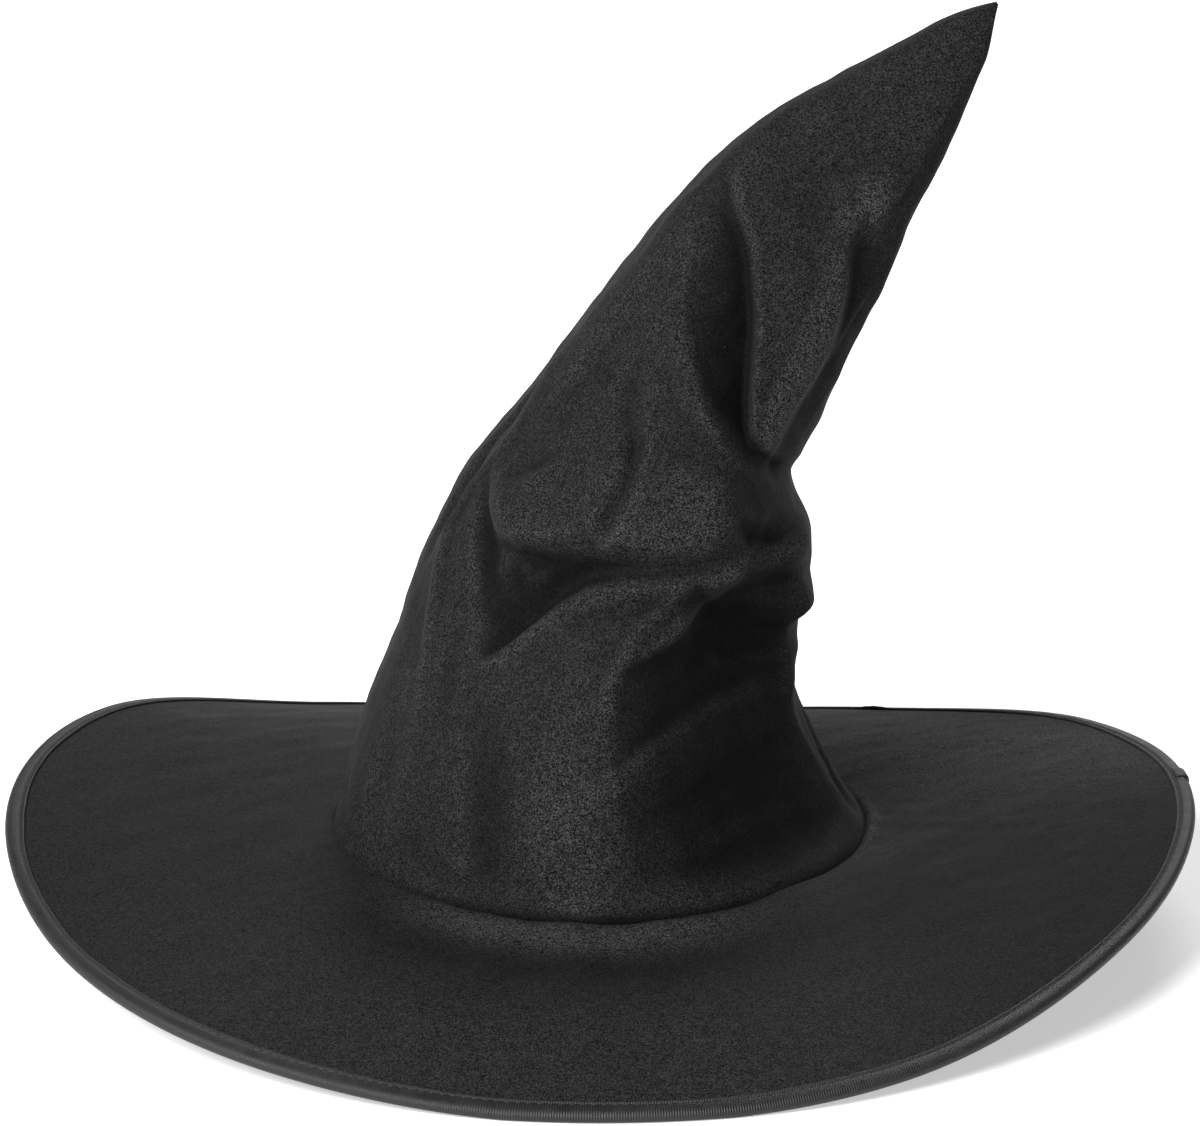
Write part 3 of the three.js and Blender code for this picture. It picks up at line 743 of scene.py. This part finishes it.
class Crown:
    """The folded crown's fine outer surface, and its coarser inner walls that nest inside it."""

    def __init__(self):
        angles = np.arange(CROWN_COLUMNS) * 2 * np.pi / CROWN_COLUMNS
        shares = np.linspace(0, CROWN_END, CROWN_ROWS)
        angle, share = np.meshgrid(angles, shares)
        base = crown_surface(share, angle)
        normals = grid_normals(base)
        ways = self.push_ways(normals, share)
        heights = self.fold_heights(base, share, angle)
        # Painted shade and painted light on the crown, from the patches, the hollows, the ridges and the
        # seam
        painted_patches = sum(patch.heights(base, share, angle) for patch in NAP_PAINTED_LIGHT)
        self.shade = self.nap_painted_light(painted_patches, heights, share * SLANT)
        # The lowest edge flares a little over the seam.
        flare = 0.9 * (1 - smooth_step(share * SLANT, 2.5, 9))
        self.outer = base + ways * heights[..., None] + normals * flare[..., None]
        low = rolling(np.minimum(heights, 0.4), COARSE, np.minimum)
        self.coarse_heights = low[::COARSE, ::COARSE]
        self.coarse_ways = ways[::COARSE, ::COARSE]
        self.coarse_angles = angles[::COARSE]
        self.coarse_shares = shares[::COARSE]

    @staticmethod
    def push_ways(normals, share):
        """Unit directions in which the folds push the cloth.

        The tip's folds at the front are pushed straight back, which keeps their edges crisp. All
        the others are pushed in square to the cloth.
        """
        facing = smooth_step(normals @ FRONTWARDS, 0.25, 0.7)[..., None]
        facing *= smooth_step(share, 0.42, 0.46)[..., None]
        ways = normals * (1 - facing) + FRONTWARDS * facing
        return ways / np.linalg.norm(ways, axis=-1, keepdims=True)

    @staticmethod
    def fold_heights(base, share, angle):
        """How far the cloth stands off the unfolded crown, in mm."""
        heights = sum(fold.heights(base, share, angle) for fold in FOLDS)
        heights = heights + 0.5 * wobble(base, 34, 1) + 0.25 * wobble(base, 13, 2)
        heights = heights + crumples(base, angle, share)
        heights = heights * (1 - 0.8 * smooth_step(share, 0.80, 0.97))
        # The brim's stiff edge holds the crown round.
        heights = heights * (0.04 + 0.96 * smooth_step(share * SLANT, 2, 17))
        heights = softened(heights, 1)
        # The crown's one seam runs up the back: a groove between two slight ridges.
        off = np.abs(angle - np.pi) * cone_radius(share)
        heights = heights - 0.7 * np.exp(-(off / 1.3) ** 2)
        heights = heights + 0.25 * np.exp(-((off - 3.2) / 1.4) ** 2)
        # No fold goes past the middle of the crown's depth.
        depth = np.abs(base[:, :, 1]).max(1, keepdims=True)
        return np.maximum(heights, -0.55 * depth)

    @staticmethod
    def nap_painted_light(painted_patches, heights, up):
        """Painted shade and light on the nap: the patches, shade in the hollows and at the seam, a
        highlight on ridges.
        """
        hollow = softened(np.clip(-heights / 14, -0.3, 1), 2)
        ridge_highlight = np.clip((heights - softened(heights, 8)) / 0.5, -1, 1)
        seam_shade = np.exp(-(up / 1.6) ** 2)
        light = np.clip(1 - 0.62 * painted_patches - 0.25 * hollow + 0.35 * ridge_highlight, 0.25, 2.2)
        return light * (1 - 0.6 * seam_shade)

    def wall(self, inset, end):
        """Rings of an inner wall with its hem, from below the seam up to a share of the height."""
        rows = self.coarse_shares <= end
        angle, share = np.meshgrid(self.coarse_angles, self.coarse_shares[rows])
        points = crown_surface(share, angle, inset)
        return hemmed(points + self.coarse_ways[rows] * self.coarse_heights[rows][..., None])

    def low_height(self, share, angle):
        """The inner walls' fold height at any share and angle."""
        row = np.clip(share / self.coarse_shares[1], 0, len(self.coarse_shares) - 1.001)
        column = (angle % (2 * np.pi)) / self.coarse_angles[1]
        r, c = row.astype(int), column.astype(int)
        columns = len(self.coarse_angles)
        across = [self.coarse_heights[r + k, c % columns] * (1 - column + c)
                  + self.coarse_heights[r + k, (c + 1) % columns] * (column - c) for k in (0, 1)]
        return across[0] * (1 - row + r) + across[1] * (row - r)

    def low_wall(self, inset, heights_up, angles):
        """Rings near the seam at any angles, at heights in mm above it."""
        angle, up = np.meshgrid(angles, np.asarray(heights_up, float))
        share = np.clip(up / RISE_AT_SEAM, 0, 1)
        points = crown_surface(share, angle, inset)
        outward = np.stack([np.sin(angle), -np.cos(angle), np.zeros_like(angle)], -1)
        points = points + outward * self.low_height(share, angle)[..., None]
        points[..., 2] = np.where(up < 0, up, points[..., 2])
        return points


def hemmed(rings):
    """The rings with one more straight below the first: the cloth's hem under the seam."""
    hem = rings[:1].copy()
    hem[..., 2] = -CLOTH_BELOW
    return np.concatenate([hem, rings])


def closed_shell(name, outer, inner):
    """A closed sack of cloth: an outer grid of rings and an inner one, each closed at its top."""
    fine, coarse = outer.shape[1], inner.shape[1]
    ratio = fine // coarse
    points = np.vstack([outer.reshape(-1, 3), outer[-1].mean(0, keepdims=True),
                        inner.reshape(-1, 3), inner[-1].mean(0, keepdims=True)])
    faces = grid_faces(len(outer), fine, False)
    outer_pole = outer.shape[0] * fine
    inner_start = outer_pole + 1
    inner_pole = inner_start + inner.shape[0] * coarse
    last = outer_pole - fine
    faces += [(last + c, last + (c + 1) % fine, outer_pole) for c in range(fine)]
    faces += grid_faces(len(inner), coarse, False, inner_start, flip=True)
    last = inner_pole - coarse
    faces += [(inner_pole, last + (c + 1) % coarse, last + c) for c in range(coarse)]
    for c in range(coarse):
        here, beside = inner_start + c, inner_start + (c + 1) % coarse
        edge = [(c * ratio + k) % fine for k in range(ratio + 1)]
        faces.append((here, beside, edge[-1]))
        faces += [(here, edge[k + 1], edge[k]) for k in range(ratio)]
    return mesh_object(name, points, faces)


def make_crown(crown, cloth):
    outer = hemmed(crown.outer)
    obj = closed_shell("crown", outer, crown.wall(CROWN_CLOTH, 0.955))
    # The crown's painted light and shade, carried to its material as a point attribute
    shade = np.ones(len(obj.data.vertices), np.float32)
    shade[:outer.shape[0] * outer.shape[1]] = np.vstack([crown.shade[:1], crown.shade]).ravel()
    obj.data.attributes.new("nap_painted_light", "FLOAT", "POINT").data.foreach_set("value", shade)
    obj.data.materials.append(cloth)
    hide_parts("crown_lower", "crown_tip")
    bend(obj)


def make_lining(crown, cloth):
    outer = crown.wall(LINING_INSET, 0.88)
    obj = closed_shell("lining", outer, crown.wall(LINING_INSET + LINING_CLOTH, 0.86))
    obj.data.materials.append(cloth)
    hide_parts("lining_lower", "lining_tip")
    bend(obj)


def bend(obj):
    """Bakes the piece's transform into its mesh."""
    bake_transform(obj)


# ---- Brim ----
def bell(value, middle, width, power=2):
    """1 at the middle, and falling to 0 on both sides of it."""
    return np.exp(-((value - middle) / width) ** power)


def brim_relief(in_from_rim, angle):
    """How far the brim's cloth stands off its even sweep."""
    radius = rim_radius(angle) - in_from_rim
    turn = np.degrees((angle + np.pi) % (2 * np.pi) - np.pi)
    flat = np.stack([radius * np.sin(angle), -radius * np.cos(angle), 0 * radius], -1)
    inside = smooth_step(in_from_rim, 6, 24)
    # At the front the cloth rolls down steeply from the seam, and then lies flatter.
    front = bell(turn, ROLL_AT, 36, 4)
    roll = (-2.4 * (1 - smooth_step(radius, 104, 165))
            - 3.6 * smooth_step(radius, 92.6, 108) * (1 - smooth_step(radius, 112, 165)))
    waves = 0.45 * wobble(flat, 46, 3) + 0.16 * wobble(flat, 15, 4)
    back_right = smooth_step(turn, 40, 80) * (1 - smooth_step(turn, 150, 175))
    crinkles = 0.07 * back_right * wobble(flat * (0.6, 1.6, 1), 13, 5)
    # At the right the seam's turned edge pushes the cloth up beside the crown.
    turned = 2.0 * bell(turn, RIDGE_AT, 15) * bell(radius, RIDGE_RADIUS, 2.0)
    return front * roll + inside * (waves + crinkles) + turned


def brim_point(in_from_rim, angle, lift):
    """Points of the brim with its waves, at a lift above or below the middle of its layers."""
    points = brim_surface(in_from_rim, angle, lift)
    points[..., 2] += brim_relief(in_from_rim, angle)
    return points


def brim_rings(section, count):
    """Rings of the brim for a section of (in from the rim, lift) points; count is round the ring."""
    angle = np.arange(count) * 2 * np.pi / count
    # The rim is a little oval and the hole is round, so the layers widen and narrow between them.
    spread = (rim_radius(angle) - BRIM_HOLE - STACK_IN) / (HOLE_IN - STACK_IN)
    return np.array([brim_point(min(inwards, STACK_IN) + max(inwards - STACK_IN, 0) * spread,
                                angle, lift) for inwards, lift in section])


def cover_section(low, high, rows, hidden_rows, shown_on_top):
    """A cover's section: its cut edge at the hole, its shown face in fine rows, its hidden face."""
    shown, hidden = (high, low) if shown_on_top else (low, high)
    edge = [(HOLE_IN, hidden + (shown - hidden) * 0.55),
            (HOLE_IN - 0.15, hidden + (shown - hidden) * 0.9)]
    face = [(inwards, shown) for inwards in np.linspace(HOLE_IN, STACK_IN, rows)[1:]]
    return edge + face + [(inwards, hidden) for inwards in np.linspace(STACK_IN, HOLE_IN, hidden_rows)]


def make_cover(name, node, low, high, shown_on_top, rows, count, cloth):
    """One of the brim's two covers, between two heights over the middle of its layers."""
    rings = brim_rings(cover_section(low, high, rows, 10, shown_on_top), count)
    obj = ring_solid(name, rings)
    # The brim's painted light and shade, carried to its material as a point attribute
    obj.data.attributes.new("nap_painted_light", "FLOAT", "POINT").data.foreach_set(
        "value", brim_painted_light(rings).astype(np.float32).ravel())
    place(obj, "velour", node, material=cloth)


def brim_painted_light(points):
    """Painted light and shade on the brim's nap: light at the back, the front, the roll and the ridge at
    the right; shade past the roll, at the right and at the seam.
    """
    radius = np.linalg.norm(points[..., :2], axis=-1)
    turn = np.degrees(np.arctan2(points[..., 0], -points[..., 1]))
    roll = bell(turn, ROLL_AT, 34, 4) * bell(radius, 99, 8)
    ditch = bell(turn, ROLL_AT, 36, 4) * bell(radius, 118, 8)
    front = bell(turn, 0, 45) * smooth_step(radius, 120, 160)
    back = smooth_step(points[..., 1], -10, 110)
    back_right = back * smooth_step(points[..., 0], 40, 110)
    right = bell(turn, 62, 26) * smooth_step(radius, 96, 120)
    turned = bell(turn, RIDGE_AT, 15) * bell(radius, RIDGE_RADIUS, 2.2)
    light = (1 + 0.25 * back + 1.8 * back_right + 1.15 * roll - 0.25 * ditch + 0.48 * front
             - 0.3 * right + 1.1 * turned)
    # Painted shade along the seam
    return light * (1 - 0.6 * bell(radius, BRIM_HOLE, 1.0))


def make_stiffener(felt):
    half = STIFFENER / 2
    tops = [(inwards, half) for inwards in np.linspace(HOLE_IN, STACK_IN, 14)]
    section = tops + [(inwards, -lift) for inwards, lift in tops[::-1]]
    obj = ring_solid("stiffener", brim_rings(section, 180))
    place(obj, "stiffener", "brim_stiffener", material=felt)


def tape_nose(offset, half, turns):
    """The tape's rounded fold at the rim, from its top to its underside."""
    reach = TAPE_CURVE - offset
    turn = np.linspace(np.pi / 2, -np.pi / 2, turns)
    return [(TAPE_CURVE - reach * math.cos(a), half * math.sin(a)) for a in turn]


def tape_face(half):
    """Points over one face of the tape, from its free edge over its stitched ditch to its fold."""
    edge, ditch = TAPE_WIDTH, STITCH_INSET
    return [(edge, half - 0.4), (edge - 0.05, half - 0.1), (edge - 0.2, half + 0.06),
            (edge - 0.6, half + 0.1), (ditch + 0.5, half - 0.02), (ditch + 0.25, half - 0.25),
            (ditch, half - 0.36), (ditch - 0.25, half - 0.25), (ditch - 0.5, half - 0.02),
            (ditch - 1.0, half + 0.06), (ditch - 1.7, half + 0.04)]


def make_binding(tape):
    """The tape folded over the brim's edge: its outer face all round, and then its inner face."""
    count = 720
    angle = np.arange(count) * 2 * np.pi / count
    top = tape_face(TAPE_HALF)
    under = [(inwards, -lift) for inwards, lift in top[::-1]]
    outer = top + tape_nose(0, TAPE_HALF, 9) + under
    # The stitches press the tape's free edges down on the covers.
    pressed = STACK_HALF + 0.03
    inner = ([(TAPE_WIDTH, -pressed)] + tape_nose(TAPE_CLOTH, TAPE_INNER_HALF, 7)[::-1]
             + [(TAPE_WIDTH, pressed)])
    # The free edge wanders a little, and the stitches pucker it.
    around = np.stack([200 * np.sin(angle), 200 * np.cos(angle), 0 * angle], -1)
    wander = 0.25 * wobble(around, 70, 6) + 0.08 * wobble(around, 14, 7)
    pucker = 0.07 * np.cos(angle * STITCH_COUNT)
    rings = []
    for index, (inwards, lift) in enumerate(outer + inner):
        edge = smooth_step(inwards, STITCH_INSET - 1.5, TAPE_WIDTH)
        ring = brim_point(inwards + edge * wander, angle, lift)
        if index < len(outer):
            ring[..., 2] += edge * pucker * np.sign(lift)
        if lift > 0:
            ring[..., 2] += edge * GAPE * bell(np.degrees(angle), GAPE_AT, 1.4)
        rings.append(ring)
    rings = np.array(rings)
    rings[..., 2] = np.maximum(rings[..., 2], -STANDING_DEPTH)
    obj = ring_solid("binding", rings)
    place(obj, "satin_tape", "brim_binding", material=tape)


def slab(name, under, over):
    """A closed solid between two grids of points of the same size."""
    rows, columns = under.shape[:2]
    points = np.vstack([over.reshape(-1, 3), under.reshape(-1, 3)])
    size = rows * columns
    faces = []
    for r in range(rows - 1):
        for c in range(columns - 1):
            here, above = r * columns + c, (r + 1) * columns + c
            quad = (here, here + 1, above + 1, above)
            faces.append(quad)
            faces.append(tuple(size + i for i in quad[::-1]))
    rim = list(range(columns))
    rim += [r * columns + columns - 1 for r in range(1, rows)]
    rim += [(rows - 1) * columns + c for c in range(columns - 2, -1, -1)]
    rim += [r * columns for r in range(rows - 2, 0, -1)]
    for here, beside in zip(rim, rim[1:] + rim[:1]):
        faces.append((here, size + here, size + beside, beside))
    return face_outwards(mesh_object(name, points, faces))


def make_binding_lap(tape):
    """The tape's turned end, lapped over its start on the right of the brim."""
    angles = np.linspace(LAP_FROM, LAP_TO, 9)
    width = STITCH_INSET - 0.6

    def wrap(clear):
        """The patch's face that stands clear of the tape by a distance."""
        half = TAPE_HALF + clear
        top = [(width, half), (width - 1, half), (width - 2, half)]
        section = (top + tape_nose(-clear, half, 11)
                   + [(inwards, -lift) for inwards, lift in top[::-1]])
        return np.array([brim_point(inwards, angles, lift) for inwards, lift in section])

    under, over = wrap(LAP_CLEAR), wrap(LAP_CLEAR + LAP_CLOTH)
    middle = (over + under) / 2
    # The ends are folded edges, so they are rounded.
    round_off = np.sqrt(1 - np.linspace(-1, 1, len(angles)) ** 8)[None, :, None]
    over = middle + (over - middle) * np.maximum(round_off, 0.3)
    obj = slab("binding_lap_piece", under, over)
    place(obj, "satin_tape", "binding_lap", material=tape)


def stitch_row(count, half_turn, radius):
    """Separate stitches round a ring, all in one mesh.

    Gives the points as four columns (the place along the stitch from -1 to 1, the angle round the
    ring, and the offsets across and up from the stitch's middle), and then the faces.
    """
    sides, rings = 6, 5
    points, faces = [], []
    for stitch in range(count):
        middle = 2 * np.pi * (stitch + 0.5) / count
        start = len(points)
        for ring in range(rings):
            t = 2 * ring / (rings - 1) - 1
            width = radius * math.sqrt(max(1 - abs(t) ** 3, 0.08))
            for corner in range(sides):
                turn = 2 * math.pi * corner / sides
                points.append((t, middle + t * half_turn, width * math.cos(turn),
                               width * math.sin(turn)))
        faces += grid_faces(rings, sides, False, start)
        faces.append(tuple(start + c for c in range(sides))[::-1])
        faces.append(tuple(start + (rings - 1) * sides + c for c in range(sides)))
    return np.array(points).T, faces


def make_stitching(name, node, side, thread):
    """The row of stitches in the tape's ditch, on the top side (1) or the under side (-1)."""
    half_length = 1.3
    (t, angle, across, up), faces = stitch_row(
        STITCH_COUNT, half_length / (BRIM_RADIUS - STITCH_INSET), 0.22)
    # A stitch leans a little across its row, and dives into the cloth at its ends.
    inwards = STITCH_INSET + 0.12 * t + across
    lift = side * (TAPE_HALF - 0.28 - 0.22 * t ** 4) + up
    obj = face_outwards(mesh_object(name, brim_point(inwards, angle, lift), faces))
    place(obj, "thread", node, material=thread)


def make_wire(steel):
    turn = np.linspace(0, 2 * np.pi, 12, endpoint=False)
    section = [(WIRE_IN + WIRE_RADIUS * math.cos(a), WIRE_RADIUS * math.sin(a)) for a in turn]
    obj = ring_solid("wire", brim_rings(section, 360))
    place(obj, "wire", "brim_wire", material=steel)


def make_sleeve(steel):
    """The sleeve that joins the wire's two ends, pressed in at two places."""
    half = SLEEVE_LENGTH / 2 / (BRIM_RADIUS - WIRE_IN)
    along = np.linspace(-1, 1, 9)
    turn = np.linspace(0, 2 * np.pi, 20, endpoint=False)
    outside = [(t, SLEEVE_RADIUS - 0.14 * bell(abs(t), 0.45, 0.16)) for t in along]
    bore = [(t, SLEEVE_BORE) for t in along[::-1]]
    walls = np.array([brim_point(WIRE_IN + radius * np.cos(turn), np.full(len(turn), SLEEVE_AT + t * half),
                                 radius * np.sin(turn)) for t, radius in outside + bore])
    obj = ring_solid("sleeve", walls)
    place(obj, "wire", "wire_sleeve", material=steel)


# ---- Inside the crown ----
def make_sweatband(crown, tape):
    angles = np.arange(360) * 2 * np.pi / 360
    ups = [-BAND_BELOW, -BAND_BELOW + 0.5, -1.5, 0, 2.5, 6, 10, 15, 20, 25, BAND_HEIGHT - 0.6,
           BAND_HEIGHT]
    # Both edges are a little thinner than the rest.
    thinner = [0.25] + [0] * (len(ups) - 2) + [0.25]
    outer = [crown.low_wall(BAND_INSET + t, [up], angles)[0] for up, t in zip(ups, thinner)]
    inner = [crown.low_wall(BAND_INSET + BAND_CLOTH - t, [up], angles)[0]
             for up, t in zip(ups, thinner)]
    obj = ring_solid("sweatband_ribbon", np.array(outer + inner[::-1]))
    place(obj, "satin_tape", "sweatband", material=tape)


def inside_patch(crown, name, cloth, ups, from_degrees, to_degrees):
    """A patch of cloth on the sweatband's inner face."""
    inset = BAND_INSET + BAND_CLOTH + 0.05
    angles = np.radians(np.linspace(from_degrees, to_degrees, 15))
    return slab(name, crown.low_wall(inset, ups, angles), crown.low_wall(inset + cloth, ups, angles))


def make_band_lap(crown, tape):
    """The sweatband's end, lapped over its start at the back."""
    ups = np.linspace(5, BAND_HEIGHT - 0.3, 12)
    obj = inside_patch(crown, "sweatband_end", LINING_CLOTH, ups, 176, 180)
    place(obj, "satin_tape", "sweatband_lap", material=tape)


def make_label(crown, cloth):
    """A plain woven label, blank, beside the sweatband's lap."""
    obj = inside_patch(crown, "label", LINING_CLOTH / 2, np.linspace(5, 24.5, 16), 191, 199)
    place(obj, "label_cloth", "care_label", material=cloth)


def make_band_stitching(crown, thread):
    """The stitches that hold the sweatband, in a row round its lower edge."""
    half_length, usual_radius = 1.2, 88
    (_, angle, across, up), faces = stitch_row(170, half_length / usual_radius, 0.25)
    inset = BAND_INSET + BAND_CLOTH + 0.1 + across
    radius = CROWN_RADIUS - inset + crown.low_height(0 * angle, angle)
    points = np.stack([radius * np.sin(angle), -radius * np.cos(angle), up - BAND_BELOW / 2], -1)
    obj = face_outwards(mesh_object("sweatband_stitches", points, faces))
    place(obj, "thread", "sweatband_stitching", material=thread)


# ---- Studio ----
def make_floor():
    """A pale painted floor, a hair below the hat."""
    size = 14
    mesh = bpy.data.meshes.new("floor")
    mesh.from_pydata([(-size, -size, 0), (size, -size, 0), (size, size, 0), (-size, size, 0)], [],
                     [(0, 1, 2, 3)])
    floor = bpy.data.objects.new("floor", mesh)
    bpy.context.scene.collection.objects.link(floor)
    nodes = Nodes("floor_paint")
    mottle = nodes.noise(400, detail=2.0)
    nodes.set(Base_Color=nodes.mix(mottle, grey(0.86, 1), grey(0.9, 1)), Roughness=0.9,
              Specular_IOR_Level=0.2, Emission_Color=grey(1, 1), Emission_Strength=0.5)
    mesh.materials.append(nodes.material)
    floor.location = (0, 0, -0.0004)


def area_light(name, place_at, size, power, target=(0, 0, 0.1)):
    """A round soft light that faces its target."""
    light = bpy.data.lights.new(name, "AREA")
    light.shape = "DISK"
    light.size = size
    light.energy = power
    obj = bpy.data.objects.new(name, light)
    bpy.context.scene.collection.objects.link(obj)
    away = np.array(place_at) - np.array(target)
    azimuth = math.atan2(away[1], away[0])
    height = math.atan2(away[2], math.hypot(away[0], away[1]))
    obj.location = place_at
    obj.rotation_euler = (math.pi / 2 - height, 0, azimuth + math.pi / 2)


def make_studio():
    make_floor()
    area_light("key", (-1.7, -2.2, 2.3), 2.2, 215)
    area_light("back_fill", (0.6, 3.0, 2.6), 1.8, 60, target=(0.2, 1.2, 0))
    make_walls()
    bpy.context.scene.view_settings.view_transform = "Standard"


def make_walls():
    """A world that is pale near the floor and dark overhead."""
    world = bpy.data.worlds.new("studio")
    bpy.context.scene.world = world
    world.use_nodes = True
    tree = world.node_tree
    background = tree.nodes["Background"]
    direction = tree.nodes.new("ShaderNodeTexCoord").outputs["Generated"]
    split = tree.nodes.new("ShaderNodeSeparateXYZ")
    tree.links.new(direction, split.inputs[0])
    walls = tree.nodes.new("ShaderNodeMapRange")
    walls.interpolation_type = "SMOOTHSTEP"
    tree.links.new(split.outputs[2], walls.inputs["Value"])
    for key, value in {"From Min": 0.08, "From Max": 0.22, "To Min": 0.9, "To Max": 0.08}.items():
        walls.inputs[key].default_value = value
    tree.links.new(walls.outputs["Result"], background.inputs["Strength"])
    background.inputs["Color"].default_value = (1, 1, 1, 1)


def main():
    make_camera()
    make_studio()
    cloth = velour("velour_nap", base=0.0102, speckle=2.1, painted_patches=True)
    top_cloth = velour("velour_nap_brim", base=0.0103, speckle=1.4, crinkle=(2, 1, 1), painted_patches=True)
    under_cloth = velour("velour_nap_under", base=0.0115, speckle=1.3)
    tape = ribbed_tape("binding_tape")
    ribbon = ribbed_tape("sweatband_ribbon_weave", base=0.02, rib_mm=2.0)
    thread = twisted_thread("sewing_thread")
    steel = drawn_steel("wire_steel")
    crown = Crown()
    make_crown(crown, cloth)
    make_lining(crown, plain_weave("lining_weave", 0.02))
    make_cover("brim_top", "brim_top_cover", STIFFENER / 2 + GAP, STACK_HALF, True, 62, 480, top_cloth)
    make_cover("brim_under", "brim_under_cover", -STACK_HALF, -STIFFENER / 2 - GAP, False, 30, 360,
               under_cloth)
    make_stiffener(felted("interlining"))
    make_wire(steel)
    make_sleeve(steel)
    make_binding(tape)
    make_binding_lap(tape)
    make_stitching("stitches_top", "binding_stitching_top", 1, thread)
    make_stitching("stitches_under", "binding_stitching_under", -1, thread)
    make_sweatband(crown, ribbon)
    make_band_lap(crown, ribbon)
    make_label(crown, plain_weave("label_weave", 0.62, yarn_mm=0.5, roughness=0.8))
    make_band_stitching(crown, thread)


main()
